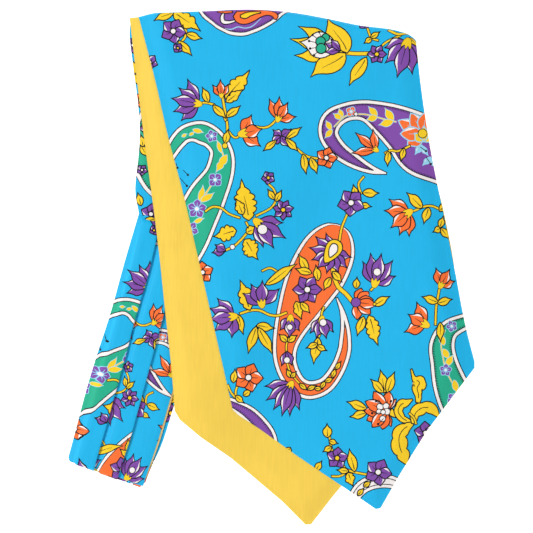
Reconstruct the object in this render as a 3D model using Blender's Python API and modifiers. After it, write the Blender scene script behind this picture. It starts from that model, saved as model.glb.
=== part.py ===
"""Silk cravat with two pointed blades and a pleated neckband.

It is folded in half at the middle of its neckband and laid flat. Both blades are then turned
over at the top fold, so they lie on the folded neckband with the rear blade's lining showing
to the left of the front blade. From the floor up the cloth lies in this order:

    under layers      hidden half: narrow part of the front blade, one solid
    neckband under    lower half of the folded neckband
    neckband          three knife pleats, rounded over at the bottom fold
    rear blade neck   narrow part of the rear blade, printed face up
    rear blade        pointed blade and its lining, turned over so that the lining is up
    front blade       pointed blade and its lining, rolled over the top fold round the rest

World axes: +X right, +Y towards the top fold, +Z up from the floor that it lies on.
"""

import math
from collections import namedtuple

import bmesh
import bpy
import numpy as np

# Driving sizes in millimetres, made metres when a mesh is written.
MM = 0.001
WALL = 1.0              # cloth wall
GAP = 0.3               # clearance between pieces that touch
UNDER = 1.2             # thickness of the hidden layers
STEP = 0.6              # height of the first of their two edge steps
STEP_INSET = 1.4        # how far the second step lies inside the first
DRAPE_KEEP = 8.0        # a layer above stays level this far past the edge of the one below
DRAPE_FALL = 14.0       # and then comes down to the floor over this many times its height
DRAPE_SPARE = 0.1       # spare height between the two blades
REAR_SETBACK = 0.5      # how much earlier the rear blade turns than the front one
CREST_POINTS = 12       # places along the hidden layers' top edge
SEARCH_STEPS = 8        # steps that bring a line along a blade to the top fold

# A pointed blade: tip (x, y), tilt of its axis in degrees, and its corners' station.
Blade = namedtuple("Blade", "tip tilt corner sections")
# A section across a blade: station up from the tip, left edge and right edge off the axis.
Section = namedtuple("Section", "station left right")

FRONT = Blade((69.4, -156.7), 11.2, 82.0, (
    Section(0.8, -1.6, 1.6),
    Section(20.0, -20.4, 18.2),
    Section(44.0, -44.3, 40.6),
    Section(66.0, -64.8, 65.3),
    Section(78.0, -77.0, 78.9),
    Section(82.0, -79.8, 79.7),
    Section(102.0, -80.3, 78.6),
    Section(147.0, -81.6, 78.7),
    Section(180.0, -82.6, 78.5),
    Section(228.0, -84.2, 78.5),
    Section(265.0, -86.6, 80.3),
    Section(297.0, -87.5, 82.8),
    Section(344.0, -90.2, 84.0),
))
REAR = Blade((24.1, -167.0), 5.2, 82.0, (
    Section(0.8, -1.9, 1.9),
    Section(17.0, -15.3, 17.0),
    Section(48.0, -45.8, 48.0),
    Section(63.5, -64.2, 64.0),
    Section(76.0, -76.6, 76.6),
    Section(82.0, -79.4, 79.4),
    Section(110.0, -79.0, 79.0),
    Section(141.0, -79.6, 79.5),
    Section(180.0, -80.1, 80.0),
    Section(220.0, -81.4, 81.0),
    Section(248.0, -82.7, 82.0),
    Section(294.0, -84.3, 83.0),
    Section(338.0, -85.4, 84.0),
))

# The top fold, as its outermost line seen from above.
Crest = namedtuple("Crest", "x y")
CREST = (
    Crest(-93.0, 162.6),
    Crest(-86.0, 163.3),
    Crest(-79.0, 164.6),
    Crest(-63.0, 165.4),
    Crest(-43.0, 166.1),
    Crest(-8.0, 166.9),
    Crest(11.0, 165.5),
    Crest(35.0, 161.3),
    Crest(55.0, 157.2),
    Crest(82.0, 153.2),
    Crest(89.5, 151.0),
    Crest(92.7, 148.4),
    Crest(94.5, 145.6),
)

# The narrow part of the rear blade, from the notch up to the top fold.
Neck = namedtuple("Neck", "left_x left_y right_x right_y")
NECK = (
    Neck(-85.7, 35.3, -32.6, 19.8),
    Neck(-88.0, 50.6, -19.0, 42.0),
    Neck(-85.9, 71.7, 1.0, 68.0),
    Neck(-85.0, 85.0, 15.0, 87.0),
    Neck(-86.3, 100.8, 30.0, 106.0),
    Neck(-89.2, 118.9, 46.0, 124.0),
    Neck(-91.6, 138.6, 62.0, 139.0),
    Neck(-91.0, 154.1, 76.0, 150.0),
)
NECK_ROWS = 12
NECK_COLUMNS = 9
UNDER_INSET = 2.6       # the hidden layers stop this far inside the neck's left edge
UNDER_SPREAD = 15.0     # and reach this far past its hidden right edge
SPREAD_ROWS = 3.0       # over this many rows from the notch
NECK_FOLLOW = 4         # how late, as a power, the neck's rows come to follow the top fold

# The pleated neckband, from the bottom fold up to the notch. Its axes start at its lower left
# corner. Each row gives where its left edge, its two fold lines and its right edges lie.
BAND_ORIGIN = (-131.9, -124.1)
BAND_TILT = -16.3
BAND_TOP = 165.4
Pleats = namedtuple("Pleats", "station left first second right lining under")
PLEATS = (
    Pleats(-6.0, 0.3, 18.6, 34.7, 51.6, 52.0, 52.4),
    Pleats(10.0, 0.0, 18.3, 34.9, 52.2, 52.9, 53.6),
    Pleats(25.0, -0.4, 18.4, 35.4, 52.8, 53.9, 55.9),
    Pleats(45.0, -0.9, 18.0, 35.1, 52.9, 54.0, 56.5),
    Pleats(70.0, -0.7, 17.8, 34.6, 52.8, 53.8, 56.6),
    Pleats(95.0, 0.1, 16.9, 33.9, 52.6, 53.6, 56.4),
    Pleats(135.0, -0.4, 16.6, 33.4, 52.4, 53.4, 56.0),
    Pleats(166.0, -0.3, 14.6, 32.0, 52.0, 53.0, 55.6),
)
FOLD_SLOPE = -0.07      # the bottom fold runs down to the right at this slope
FOLD_STATION = -1.3     # and starts at this station
PLEAT_FOLD = 0.65       # radius of a pleat's folded edge, to the middle of the wall
PLEAT_DEPTH = 6.0       # how far a pleat runs back under itself
PLEAT_RISE = 1.0        # how far from its start a panel begins to rise over the next pleat
BAND_ROWS = 15
BEND_ROWS = 5
FOLD_POINTS = 5         # points round each pleat's fold
BEND_SPARE = 0.1        # spare height under the bend's axis and past the bottom fold
BAND_OUTLINE_ROWS = 9
BAND_BOTTOM = (2.0, 18.6, 34.7, 50.0)   # distances across the band along its bottom edge
STRIP_COLUMNS = 3       # columns of the neckband's lining strip
LINING_REACH = 11.0     # the last panel lies level from here past the second fold line
LINING_START = 13.0     # and the neckband's lining starts here under it
LINING_END = 2.4        # and stops at this station, inside the bottom fold

# How finely each blade is divided.
COLUMNS = 15
POINT_ROWS = 8
BODY_ROWS = 23
ROLL_ROWS = 7

BLUE = (0.024, 0.461, 0.855, 1.0)
YELLOW = (0.930, 0.672, 0.088, 1.0)
CREAM = (0.880, 0.760, 0.420, 1.0)


def clear_scene():
    for item in list(bpy.data.objects):
        bpy.data.objects.remove(item, do_unlink=True)


def silk(name, colour):
    material = bpy.data.materials.new(name)
    material.use_nodes = True
    shader = material.node_tree.nodes["Principled BSDF"]
    shader.inputs["Base Color"].default_value = colour
    shader.inputs["Roughness"].default_value = 0.6
    shader.inputs["Metallic"].default_value = 0.0
    return material


def axes(tilt):
    """Directions up and to the right of a piece that leans by tilt degrees."""
    angle = math.radians(tilt)
    up = np.array((-math.sin(angle), math.cos(angle)))
    right = np.array((math.cos(angle), math.sin(angle)))
    return up, right


def column(rows, name):
    return [getattr(row, name) for row in rows]


def read(rows, key, name, value):
    """The value of one named column of a table, at a value of its first column."""
    return float(np.interp(value, column(rows, key), column(rows, name)))


def crest_y(x):
    return read(CREST, "x", "y", x)


def blade_place(blade, station, share):
    """Where a share of the width lies across a blade at a station."""
    up, right = axes(blade.tilt)
    left_edge = read(blade.sections, "station", "left", station)
    right_edge = read(blade.sections, "station", "right", station)
    across = left_edge + (right_edge - left_edge) * share
    return np.array(blade.tip) + up * station + right * across


def crest_station(blade, share, back):
    """Station at which a line along the blade comes to a distance back from the top fold."""
    up, _ = axes(blade.tilt)
    station = blade.sections[-1].station
    for _ in range(SEARCH_STEPS):
        x, y = blade_place(blade, station, share)
        station += (crest_y(x) - back - y) / up[1]
    return station


def blade_rows(blade, back):
    """Rows of places over a blade, from its tip to a distance back from the top fold."""
    shares = np.linspace(0.0, 1.0, COLUMNS)
    ends = [crest_station(blade, share, back) for share in shares]
    first = blade.sections[0].station
    rows = []
    for station in np.linspace(first, blade.corner, POINT_ROWS, endpoint=False):
        rows.append([blade_place(blade, station, share) for share in shares])
    for part in np.linspace(0.0, 1.0, BODY_ROWS):
        rows.append([
            blade_place(blade, blade.corner + (end - blade.corner) * part, share)
            for share, end in zip(shares, ends)
        ])
    return rows


def outline(rows):
    """The places round the edge of a grid of rows."""
    left = [row[0] for row in rows]
    right = [row[-1] for row in rows]
    return list(rows[0][1:-1]) + right + list(reversed(rows[-1][1:-1])) + list(reversed(left))


def distance_outside(place, edge):
    """Distance from a place to an outline, 0 inside it."""
    start = np.array(edge)
    end = np.roll(start, -1, axis=0)
    along = end - start
    length = np.maximum((along ** 2).sum(axis=1), 1e-9)
    part = np.clip(((place - start) * along).sum(axis=1) / length, 0.0, 1.0)
    nearest = np.sqrt(((start + along * part[:, None] - place) ** 2).sum(axis=1)).min()
    crossing = (start[:, 1] > place[1]) != (end[:, 1] > place[1])
    run = np.where(along[:, 1] == 0.0, 1e-9, along[:, 1])
    cut = start[:, 0] + along[:, 0] * (place[1] - start[:, 1]) / run
    inside = np.count_nonzero(crossing & (place[0] < cut)) % 2 == 1
    return 0.0 if inside else nearest


def drape(place, edge, height):
    """Height at which cloth lies over a layer: level on it, down to the floor past its edge."""
    past = distance_outside(place, edge) - DRAPE_KEEP
    part = min(max(past / (DRAPE_FALL * height), 0.0), 1.0)
    return height * 0.5 * (1.0 + math.cos(math.pi * part))


def neck_rows(back):
    """Rows of places over the narrow part of the rear blade, the last along the top fold."""
    parts = np.linspace(0.0, 1.0, len(NECK))
    rows = []
    for part in np.linspace(0.0, 1.0, NECK_ROWS):
        left = np.array([np.interp(part, parts, column(NECK, name)) for name in ("left_x", "left_y")])
        right = np.array([np.interp(part, parts, column(NECK, name)) for name in ("right_x", "right_y")])
        row = [left + (right - left) * share for share in np.linspace(0.0, 1.0, NECK_COLUMNS)]
        for place in row:
            place[1] += (crest_y(place[0]) - back - place[1]) * part ** NECK_FOLLOW
        rows.append(row)
    return rows


def band_place(station, across):
    up, right = axes(BAND_TILT)
    return np.array(BAND_ORIGIN) + up * station + right * across


def band_outline(edge_name, inset):
    """The neckband's outline with its right side along one of the table's columns."""
    stations = np.linspace(0.0, BAND_TOP, BAND_OUTLINE_ROWS)
    left = [band_place(s, read(PLEATS, "station", "left", s) + inset) for s in stations]
    right = [band_place(s, read(PLEATS, "station", edge_name, s)) for s in stations]
    bottom = [
        band_place(FOLD_STATION + FOLD_SLOPE * across + inset, across)
        for across in BAND_BOTTOM
    ]
    return bottom + right + list(reversed(left))


def pleat_path(row_station):
    """The middle of the pleated wall across the band: distance from the left, and height."""
    left, first, second, right = (
        read(PLEATS, "station", name, row_station) for name in ("left", "first", "second", "right")
    )
    low = UNDER + GAP + WALL / 2.0
    middle = low + 2.0 * PLEAT_FOLD
    high = middle + 2.0 * PLEAT_FOLD
    path = [(left, low), (left + PLEAT_RISE, low)]
    for fold in (first, second):
        inner = fold - PLEAT_DEPTH
        start = path[-1][0]
        crown = inner - PLEAT_FOLD - WALL
        path.append(((start + crown) / 2.0, (low + high) / 2.0))
        path.append((crown, high))
        path.append(((crown + fold) / 2.0, high))
        path += fold_arc(fold - PLEAT_FOLD, high - PLEAT_FOLD, 1.0)
        path += fold_arc(inner, low + PLEAT_FOLD, -1.0)
        path.append((fold + PLEAT_RISE, low))
    start = path[-1][0]
    rest = second + LINING_REACH
    path.append(((start + rest) / 2.0, (low + middle) / 2.0))
    path.append((rest, middle))
    path.append((right, middle))
    return path


def fold_arc(centre, height, side):
    """Half a turn from the top down, bulging to the right for side 1 and left for side -1."""
    return [
        (centre + side * PLEAT_FOLD * math.sin(turn), height + PLEAT_FOLD * math.cos(turn))
        for turn in np.linspace(0.0, math.pi, FOLD_POINTS)
    ]


def grid_object(name, rows, material, offset, collection):
    """An open surface through rows of points, given its wall by Solidify."""
    mesh = bpy.data.meshes.new(name)
    width = len(rows[0])
    points = [tuple(value * MM for value in point) for row in rows for point in row]
    faces = [
        (r * width + c, r * width + c + 1, (r + 1) * width + c + 1, (r + 1) * width + c)
        for r in range(len(rows) - 1)
        for c in range(width - 1)
    ]
    mesh.from_pydata(points, [], faces)
    mesh.materials.append(material)
    item = bpy.data.objects.new(name, mesh)
    collection.objects.link(item)
    wall = item.modifiers.new("Wall", "SOLIDIFY")
    wall.thickness = WALL * MM
    wall.offset = offset
    wall.use_even_offset = True
    mesh.shade_smooth()
    return item


def inset_edge(edge, depth):
    """An outline moved inwards by a depth, corner by corner."""
    places = np.array(edge)
    along = np.roll(places, -1, axis=0) - np.roll(places, 1, axis=0)
    inward = np.stack((-along[:, 1], along[:, 0]), axis=1)
    inward /= np.linalg.norm(inward, axis=1)[:, None]
    return places + inward * depth


def slab_object(name, edge, material, collection):
    """Hidden layers as one flat solid with a step round its edge, lofted through four rings."""
    inner = inset_edge(edge, STEP_INSET)
    shape = bmesh.new()
    rings = []
    for ring_edge, height in ((edge, 0.0), (edge, STEP), (inner, STEP), (inner, UNDER)):
        rings.append([shape.verts.new((x * MM, y * MM, height * MM)) for x, y in ring_edge])
    count = len(edge)
    for low, high in zip(rings, rings[1:]):
        for i in range(count):
            after = (i + 1) % count
            shape.faces.new((low[i], low[after], high[after], high[i]))
    shape.faces.new(list(reversed(rings[0])))
    shape.faces.new(rings[-1])
    mesh = bpy.data.meshes.new(name)
    shape.to_mesh(mesh)
    shape.free()
    mesh.materials.append(material)
    item = bpy.data.objects.new(name, mesh)
    collection.objects.link(item)
    return item


def roll_rows(last_row, blade, turn, radius_of):
    """Rows that carry a sheet's last row round the top fold, on its inner face."""
    up, _ = axes(blade.tilt)
    rows = []
    for angle in np.linspace(0.0, turn, ROLL_ROWS)[1:]:
        row = []
        for x, y, z in last_row:
            radius = radius_of(z)
            place = np.array((x, y)) + up * radius * math.sin(angle)
            row.append((place[0], place[1], z - radius + radius * math.cos(angle)))
        rows.append(row)
    return rows


def under_outline(rows, back):
    """Outline of the hidden layers: inside the neck on the left, past it on the right."""
    left = [np.array(row[0]) + (UNDER_INSET, 0.0) for row in rows]
    right = [np.array(row[-1]) + (UNDER_SPREAD * min(1.0, i / SPREAD_ROWS), 0.0) for i, row in enumerate(rows)]
    right[-1] = np.array((right[-1][0], crest_y(right[-1][0]) - back))
    left[-1] = np.array((left[-1][0], crest_y(left[-1][0]) - back))
    top = [
        np.array((x, crest_y(x) - back))
        for x in np.linspace(right[-1][0], left[-1][0], CREST_POINTS)[1:-1]
    ]
    return right + top + list(reversed(left))


def main():
    clear_scene()
    collection = bpy.data.collections.new("silk cravat")
    bpy.context.scene.collection.children.link(collection)
    print_silk = silk("printed silk", BLUE)
    lining_silk = silk("lining silk", YELLOW)
    edge_silk = silk("neckband lining silk", CREAM)

    layer = WALL + GAP
    on_neck = UNDER + GAP + layer
    on_band = UNDER + GAP + WALL + 4.0 * PLEAT_FOLD + GAP
    rear_stack = 2.0 * layer + DRAPE_SPARE

    # The front blade's wall comes round from the top of the stack to the floor at the top fold.
    front_base = on_neck + rear_stack + layer
    front_radius = (front_base - WALL) / 2.0
    front_back = front_radius + WALL
    rear_back = front_back + REAR_SETBACK

    neck_grid = neck_rows(rear_back)
    neck_edge = outline(neck_grid)
    under_edge = under_outline(neck_grid, front_back + GAP)
    band_edge = band_outline("under", GAP)
    rear_grid = blade_rows(REAR, rear_back)
    rear_edge = outline(rear_grid)
    front_grid = blade_rows(FRONT, front_back)

    def under_rear(place):
        return max(
            drape(place, neck_edge, on_neck),
            drape(place, under_edge, UNDER + GAP),
            drape(place, band_edge, on_band),
        )

    def under_front(place):
        return under_rear(place) + drape(place, rear_edge, rear_stack)

    slab_object("under_layers", under_edge, print_silk, collection)
    slab_object("neckband_under", band_edge, print_silk, collection)

    neck_base = UNDER + GAP
    neck_points = [[(x, y, neck_base) for x, y in row] for row in neck_grid]
    grid_object("rear_blade_neck", neck_points, print_silk, 1.0, collection)

    # The rear blade's printed cloth lies face down under its lining, which turns at the fold.
    rear_points = [[(x, y, under_rear((x, y))) for x, y in row] for row in rear_grid]
    grid_object("rear_blade", rear_points, print_silk, 1.0, collection)
    lining_points = [[(x, y, z + layer) for x, y, z in row] for row in rear_points]
    core = neck_base + WALL + GAP / 2.0
    lining_points += roll_rows(lining_points[-1], REAR, math.pi / 2.0, lambda z: z - core)
    grid_object("rear_blade_lining", lining_points, lining_silk, 1.0, collection)

    front_points = [[(x, y, under_front((x, y))) for x, y in row] for row in front_grid]
    grid_object("front_blade_lining", front_points, lining_silk, 1.0, collection)
    shell_points = [[(x, y, z + layer) for x, y, z in row] for row in front_points]
    shell_points += roll_rows(shell_points[-1], FRONT, math.pi, lambda z: (z - WALL) / 2.0)
    grid_object("front_blade", shell_points, print_silk, 1.0, collection)

    build_neckband(print_silk, edge_silk, collection)


def build_neckband(print_silk, edge_silk, collection):
    """The pleated upper half of the neckband, bent down at its bottom fold, and its lining."""
    up, _ = axes(BAND_TILT)
    axis_height = UNDER + GAP - BEND_SPARE
    reach = WALL + 4.0 * PLEAT_FOLD + BEND_SPARE
    rows = []
    for part in np.linspace(0.0, 1.0, BAND_ROWS):
        row = []
        fold = FOLD_STATION + reach
        for across, height in pleat_path(BAND_TOP + (fold - BAND_TOP) * part):
            start = fold + FOLD_SLOPE * across
            place = band_place(BAND_TOP + (start - BAND_TOP) * part, across)
            row.append((place[0], place[1], height))
        rows.append(row)
    last = rows[-1]
    for angle in np.linspace(0.0, math.pi / 2.0, BEND_ROWS)[1:]:
        row = []
        for x, y, z in last:
            radius = z - axis_height
            place = np.array((x, y)) - up * radius * math.sin(angle)
            row.append((place[0], place[1], axis_height + radius * math.cos(angle)))
        rows.append(row)
    grid_object("neckband", rows, print_silk, 0.0, collection)

    height = UNDER + GAP
    strip = []
    for station in np.linspace(BAND_TOP, LINING_END, BAND_ROWS):
        start = read(PLEATS, "station", "second", station) + LINING_START
        end = read(PLEATS, "station", "lining", station)
        shares = np.linspace(start, end, STRIP_COLUMNS)
        strip.append([(*band_place(station + FOLD_SLOPE * a, a), height) for a in shares])
    grid_object("neckband_lining", strip, edge_silk, -1.0, collection)


main()
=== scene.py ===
"""Silk cravat, folded in half and laid flat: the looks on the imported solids.

The cloth is cut as flat outlines in millimetres, printed by drawing each motif as a shape on
the flat cut, divided along the motifs' edges, and then laid, rolled and pleated into place.
"""
import math
from collections import namedtuple

import bpy
import numpy as np
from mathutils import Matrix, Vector
from mathutils.geometry import delaunay_2d_cdt


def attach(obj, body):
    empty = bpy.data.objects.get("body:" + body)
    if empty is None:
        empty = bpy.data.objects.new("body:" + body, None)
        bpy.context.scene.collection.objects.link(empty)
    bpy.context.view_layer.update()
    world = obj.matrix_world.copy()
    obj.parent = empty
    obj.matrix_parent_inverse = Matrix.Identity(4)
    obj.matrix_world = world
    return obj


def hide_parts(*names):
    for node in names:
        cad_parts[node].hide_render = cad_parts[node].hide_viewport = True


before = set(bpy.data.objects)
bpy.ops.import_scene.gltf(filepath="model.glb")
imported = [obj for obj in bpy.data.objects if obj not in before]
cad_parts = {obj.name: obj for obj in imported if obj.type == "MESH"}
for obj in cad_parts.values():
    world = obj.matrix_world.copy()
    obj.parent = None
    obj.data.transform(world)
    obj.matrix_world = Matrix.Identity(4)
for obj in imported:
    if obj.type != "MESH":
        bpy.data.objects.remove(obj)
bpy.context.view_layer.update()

bl_info = {
    "name": "Silk Cravat",
    "version": (1, 0, 0),
    "blender": (4, 5, 0),
    "location": "3D View > Sidebar > Cravat",
    "description": "Lays out a printed, lined and pleated silk cravat, folded in half",
    "category": "Add Mesh",
}

MM = 0.001

# Lengths are in millimetres. Cloth keeps its height this far past an edge that it lies over,
# then comes down over a distance of so many times that height.
DRAPE_KEEP = 8.0
DRAPE_FALL = 14.0

# How high the upper side of each thing under the blades stands.
BAND_LOW = 2.25
BAND_HIGH = 4.2
NECK_HEIGHT = 2.75
UNDER_HEIGHT = 1.45
BAND_HEIGHT = BAND_HIGH + 0.35
REAR_HEIGHT = 2.6
SLIT = 0.02             # what is left between the lowest cloth and the floor

# How high a blade's lower and upper cloth lie over what they cover.
LOWER_CLOTH = 0.95
UPPER_CLOTH = 2.2

# Where each cloth ends short of the top fold's crest, or how round it turns there.
FRONT_ROLL = 3.85
REAR_ROLL = 1.85
REAR_BACK = 1.0
REAR_TURN = 2.5
REAR_PRINT_REACH = -4.4
NECK_BACK = FRONT_ROLL + 0.5
UNDER_BACK = FRONT_ROLL + 0.35
UNDER_INSET = 2.6
UNDER_SPREAD = 15.0

BACK_STEP = 4.0         # spacing of the places on a plain back
BACK_CLEAR = 0.8        # and how far they stay from its edge

# Waves in the cloth as it lies: a seed, a length, and a height that is a share of the
# cloth's unevenness, or in millimetres for the neckband.
Wave = namedtuple("Wave", "seed size height")
FRONT_WAVE = Wave(21, 60.0, 1.0)
REAR_WAVE = Wave(3, 52.0, 1.0)
REAR_SMALL_WAVE = Wave(4, 17.0, 0.25)
NECK_WAVE = Wave(7, 40.0, 0.6)
BAND_WAVE = Wave(31, 46.0, 0.10)
STRIP_WAVE = Wave(12, 30.0, 0.05)

# A pointed blade: tip (x, y), tilt of its axis in degrees, and sections across it.
Blade = namedtuple("Blade", "tip tilt sections")
Section = namedtuple("Section", "station left right")
CORNER = 82.0
FRONT = Blade((69.4, -156.7), 11.2, (
    Section(0.8, -1.6, 1.6),
    Section(20.0, -20.4, 18.2),
    Section(44.0, -44.3, 40.6),
    Section(66.0, -64.8, 65.3),
    Section(78.0, -77.0, 78.9),
    Section(82.0, -79.8, 79.7),
    Section(102.0, -80.3, 78.6),
    Section(147.0, -81.6, 78.7),
    Section(180.0, -82.6, 78.5),
    Section(228.0, -84.2, 78.5),
    Section(265.0, -86.6, 80.3),
    Section(297.0, -87.5, 82.8),
    Section(344.0, -90.2, 84.0),
))
REAR = Blade((24.1, -167.0), 5.2, (
    Section(0.8, -1.9, 1.9),
    Section(17.0, -15.3, 17.0),
    Section(48.0, -45.8, 48.0),
    Section(63.5, -64.2, 64.0),
    Section(76.0, -76.6, 76.6),
    Section(82.0, -79.4, 79.4),
    Section(110.0, -79.0, 79.0),
    Section(141.0, -79.6, 79.5),
    Section(180.0, -80.1, 80.0),
    Section(220.0, -81.4, 81.0),
    Section(248.0, -82.7, 82.0),
    Section(294.0, -84.3, 83.0),
    Section(338.0, -85.4, 84.0),
))

# The crest of the top fold, and the sides of the rear blade's narrow part from the notch up.
Crest = namedtuple("Crest", "x y")
CREST = (
    Crest(-93.0, 162.6),
    Crest(-86.0, 163.3),
    Crest(-79.0, 164.6),
    Crest(-63.0, 165.4),
    Crest(-43.0, 166.1),
    Crest(-8.0, 166.9),
    Crest(11.0, 165.5),
    Crest(35.0, 161.3),
    Crest(55.0, 157.2),
    Crest(82.0, 153.2),
    Crest(89.5, 151.0),
    Crest(92.7, 148.4),
    Crest(94.5, 145.6),
)
Neck = namedtuple("Neck", "left_x left_y right_x right_y")
NECK = (
    Neck(-85.7, 35.3, -32.6, 19.8),
    Neck(-88.0, 50.6, -19.0, 42.0),
    Neck(-85.9, 71.7, 1.0, 68.0),
    Neck(-85.0, 85.0, 15.0, 87.0),
    Neck(-86.3, 100.8, 30.0, 106.0),
    Neck(-89.2, 118.9, 46.0, 124.0),
    Neck(-91.6, 138.6, 62.0, 139.0),
    Neck(-91.0, 154.1, 76.0, 150.0),
)

# The neckband as it lies: its lines across it at stations from the bottom fold up.
BAND_ORIGIN = (-131.9, -124.1)
BAND_TILT = -16.3
BAND_TOP = 165.4
LOWER_INSET = 0.3
Pleats = namedtuple("Pleats", "station left first second right lining under")
PLEATS = (
    Pleats(-6.0, 0.3, 18.6, 34.7, 51.6, 52.0, 52.4),
    Pleats(10.0, 0.0, 18.3, 34.9, 52.2, 52.9, 53.6),
    Pleats(25.0, -0.4, 18.4, 35.4, 52.8, 53.9, 55.9),
    Pleats(45.0, -0.9, 18.0, 35.1, 52.9, 54.0, 56.5),
    Pleats(70.0, -0.7, 17.8, 34.6, 52.8, 53.8, 56.6),
    Pleats(95.0, 0.1, 16.9, 33.9, 52.6, 53.6, 56.4),
    Pleats(135.0, -0.4, 16.6, 33.4, 52.4, 53.4, 56.0),
    Pleats(166.0, -0.3, 14.6, 32.0, 52.0, 53.0, 55.6),
)

# The neckband's pleats: how deep each is, half its fold's thickness, how far its crown starts
# past the inner fold, where the fold under it turns, and how far the cloth comes out below it.
FIRST_PLEAT = 16.3
SECOND_PLEAT = 17.4
LAST_PANEL = 17.2
PLEAT_DEPTH = 12.5
PLEAT_BEND = 0.5
PLEAT_CROWN = 0.6
PLEAT_INNER = 0.4
PLEAT_OUT = 0.8
BAND_EDGE = 2.4         # width of its turned-down left edge
FOLD_SLOPE = -0.07
FOLD_STATION = -1.3
BAND_ROLL = 2.2
BAND_TURN = 1.9         # how far round the bottom fold the cloth goes, in radians
BAND_AXIS = 1.0         # level of the bottom fold's axis
SEAM_LEVEL = 1.5        # the band's level where it goes under the narrow part at the notch
SEAM_REACH = 2.6        # and how far it goes

# Where the front lining's edge shows on the right, and how far out it comes.
Peek = namedtuple("Peek", "low high out")
LINING_PEEK = Peek(-5.0, 53.0, 1.0)

# The print is drawn on a grid of this pitch: x to the right, y down from the frame's top left.
GRID = 0.647
GRID_CENTRE = (271.2, 267.75)
LINE = 1.15             # width of the print's dark outline, in grid units
BORDER_LINE = 0.9       # a cone's dark line inside its pale border
HEART = 0.19            # radius of a flower's heart against the flower's
TICK_START = 0.04
TICK_LENGTH = 1.7
TICK_FOOT = 0.36        # half widths of a tick at both its ends
TICK_HEAD = 0.24
CUP_SIZE = 0.38         # size of a cup against the width of its petals
CUP = ((-0.9, -0.4), (0.2, -0.9), (1.1, -0.9), (0.5, -0.35), (1.3, 0.0),
       (0.5, 0.35), (1.1, 0.9), (0.2, 0.9), (-0.9, 0.4))

GROUND, YELLOW, PURPLE, ORANGE, GREEN, WHITE, DARK, HALO = range(8)

# Colours of the print in the order of its inks, and the cloths.
Silk = namedtuple("Silk", "name red green blue")
SILKS = (
    Silk("ground", 26, 181, 234),
    Silk("yellow", 250, 208, 36),
    Silk("purple", 130, 76, 168),
    Silk("orange", 252, 114, 50),
    Silk("green", 34, 175, 139),
    Silk("white", 246, 240, 238),
    Silk("outline", 10, 10, 22),
    Silk("halo", 150, 214, 240),
)
Cloth = namedtuple("Cloth", "name silk slub relief")
PRINTED = Cloth("printed silk", None, 0.09, 0.16)
LINING = Cloth("lining silk", Silk("lining", 246, 208, 82), 0.11, 0.2)
PALE = Cloth("pale lining silk", Silk("pale lining", 222, 190, 118), 0.09, 0.2)
THREADS = 1900.0        # scale of the weave
NECK_THICKNESS = 0.5
BAND_THICKNESS = 0.3

# Where a place on the grid lies on a sheet, with the design's turn and size there.
PrintPlace = namedtuple("PrintPlace", "from_x from_y to_x to_y turn size")
BAND_PRINT = PrintPlace(187.0, 100.0, 140.0, 278.0, 28.4, 0.95)
REAR_PRINT = PrintPlace(310.0, 260.0, 300.0, 280.0, 184.0, 1.0)

# The neckband's three panels: where each starts and ends on the opened cloth, how far the cloth
# is ahead of what shows there, and where the design lies in it.
Panel = namedtuple("Panel", "start end ahead place")
PANELS = (
    Panel(-2.0, 30.0, 0.0, BAND_PRINT),
    Panel(30.02, 75.0, 25.2, PrintPlace(280.4, 136.0, 151.0, 337.0, 22.5, 0.87)),
    Panel(75.02, 130.0, 50.4, PrintPlace(385.7, 173.2, 171.0, 396.4, 22.5, 0.84)),
)

# The stage: two soft lights, each at its share of the main light's power, and what the
# camera sees, in millimetres.
Light = namedtuple("Light", "name place size share")
LIGHTS = (
    Light("main_light", (-2.5, 0.7, 2.6), 1.3, 9.4),
    Light("far_light", (1.2, -1.3, 3.0), 2.6, 2.8),
)
VIEW_CENTRE = (-3.04, 0.81, 3.0)
VIEW_WIDTH = 344.85
SENSOR = 36.0

# The print's motifs. Places, sizes and half widths are in grid units, turns in degrees.
Cone = namedtuple("Cone", "colour border ticks spine")
Stem = namedtuple("Stem", "width points")
Leaf = namedtuple("Leaf", "x y tip_x tip_y width bend lobes colour", defaults=(0.0, 0, YELLOW))
Spray = namedtuple("Spray", "x y width colour cup tips point", defaults=(0.8,))
Bloom = namedtuple("Bloom", "x y radius turn petals colour heart point",
                   defaults=(90.0, 5, PURPLE, WHITE, 0.5))
Dot = namedtuple("Dot", "x y radius colour")
Patch = namedtuple("Patch", "colour points")
Frond = namedtuple("Frond", "lobes points")
Stroke = namedtuple("Stroke", "x y tip_x tip_y")


def table(kind, values):
    """Rows of one kind, with its named columns."""
    return [kind(*value) for value in values]


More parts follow.
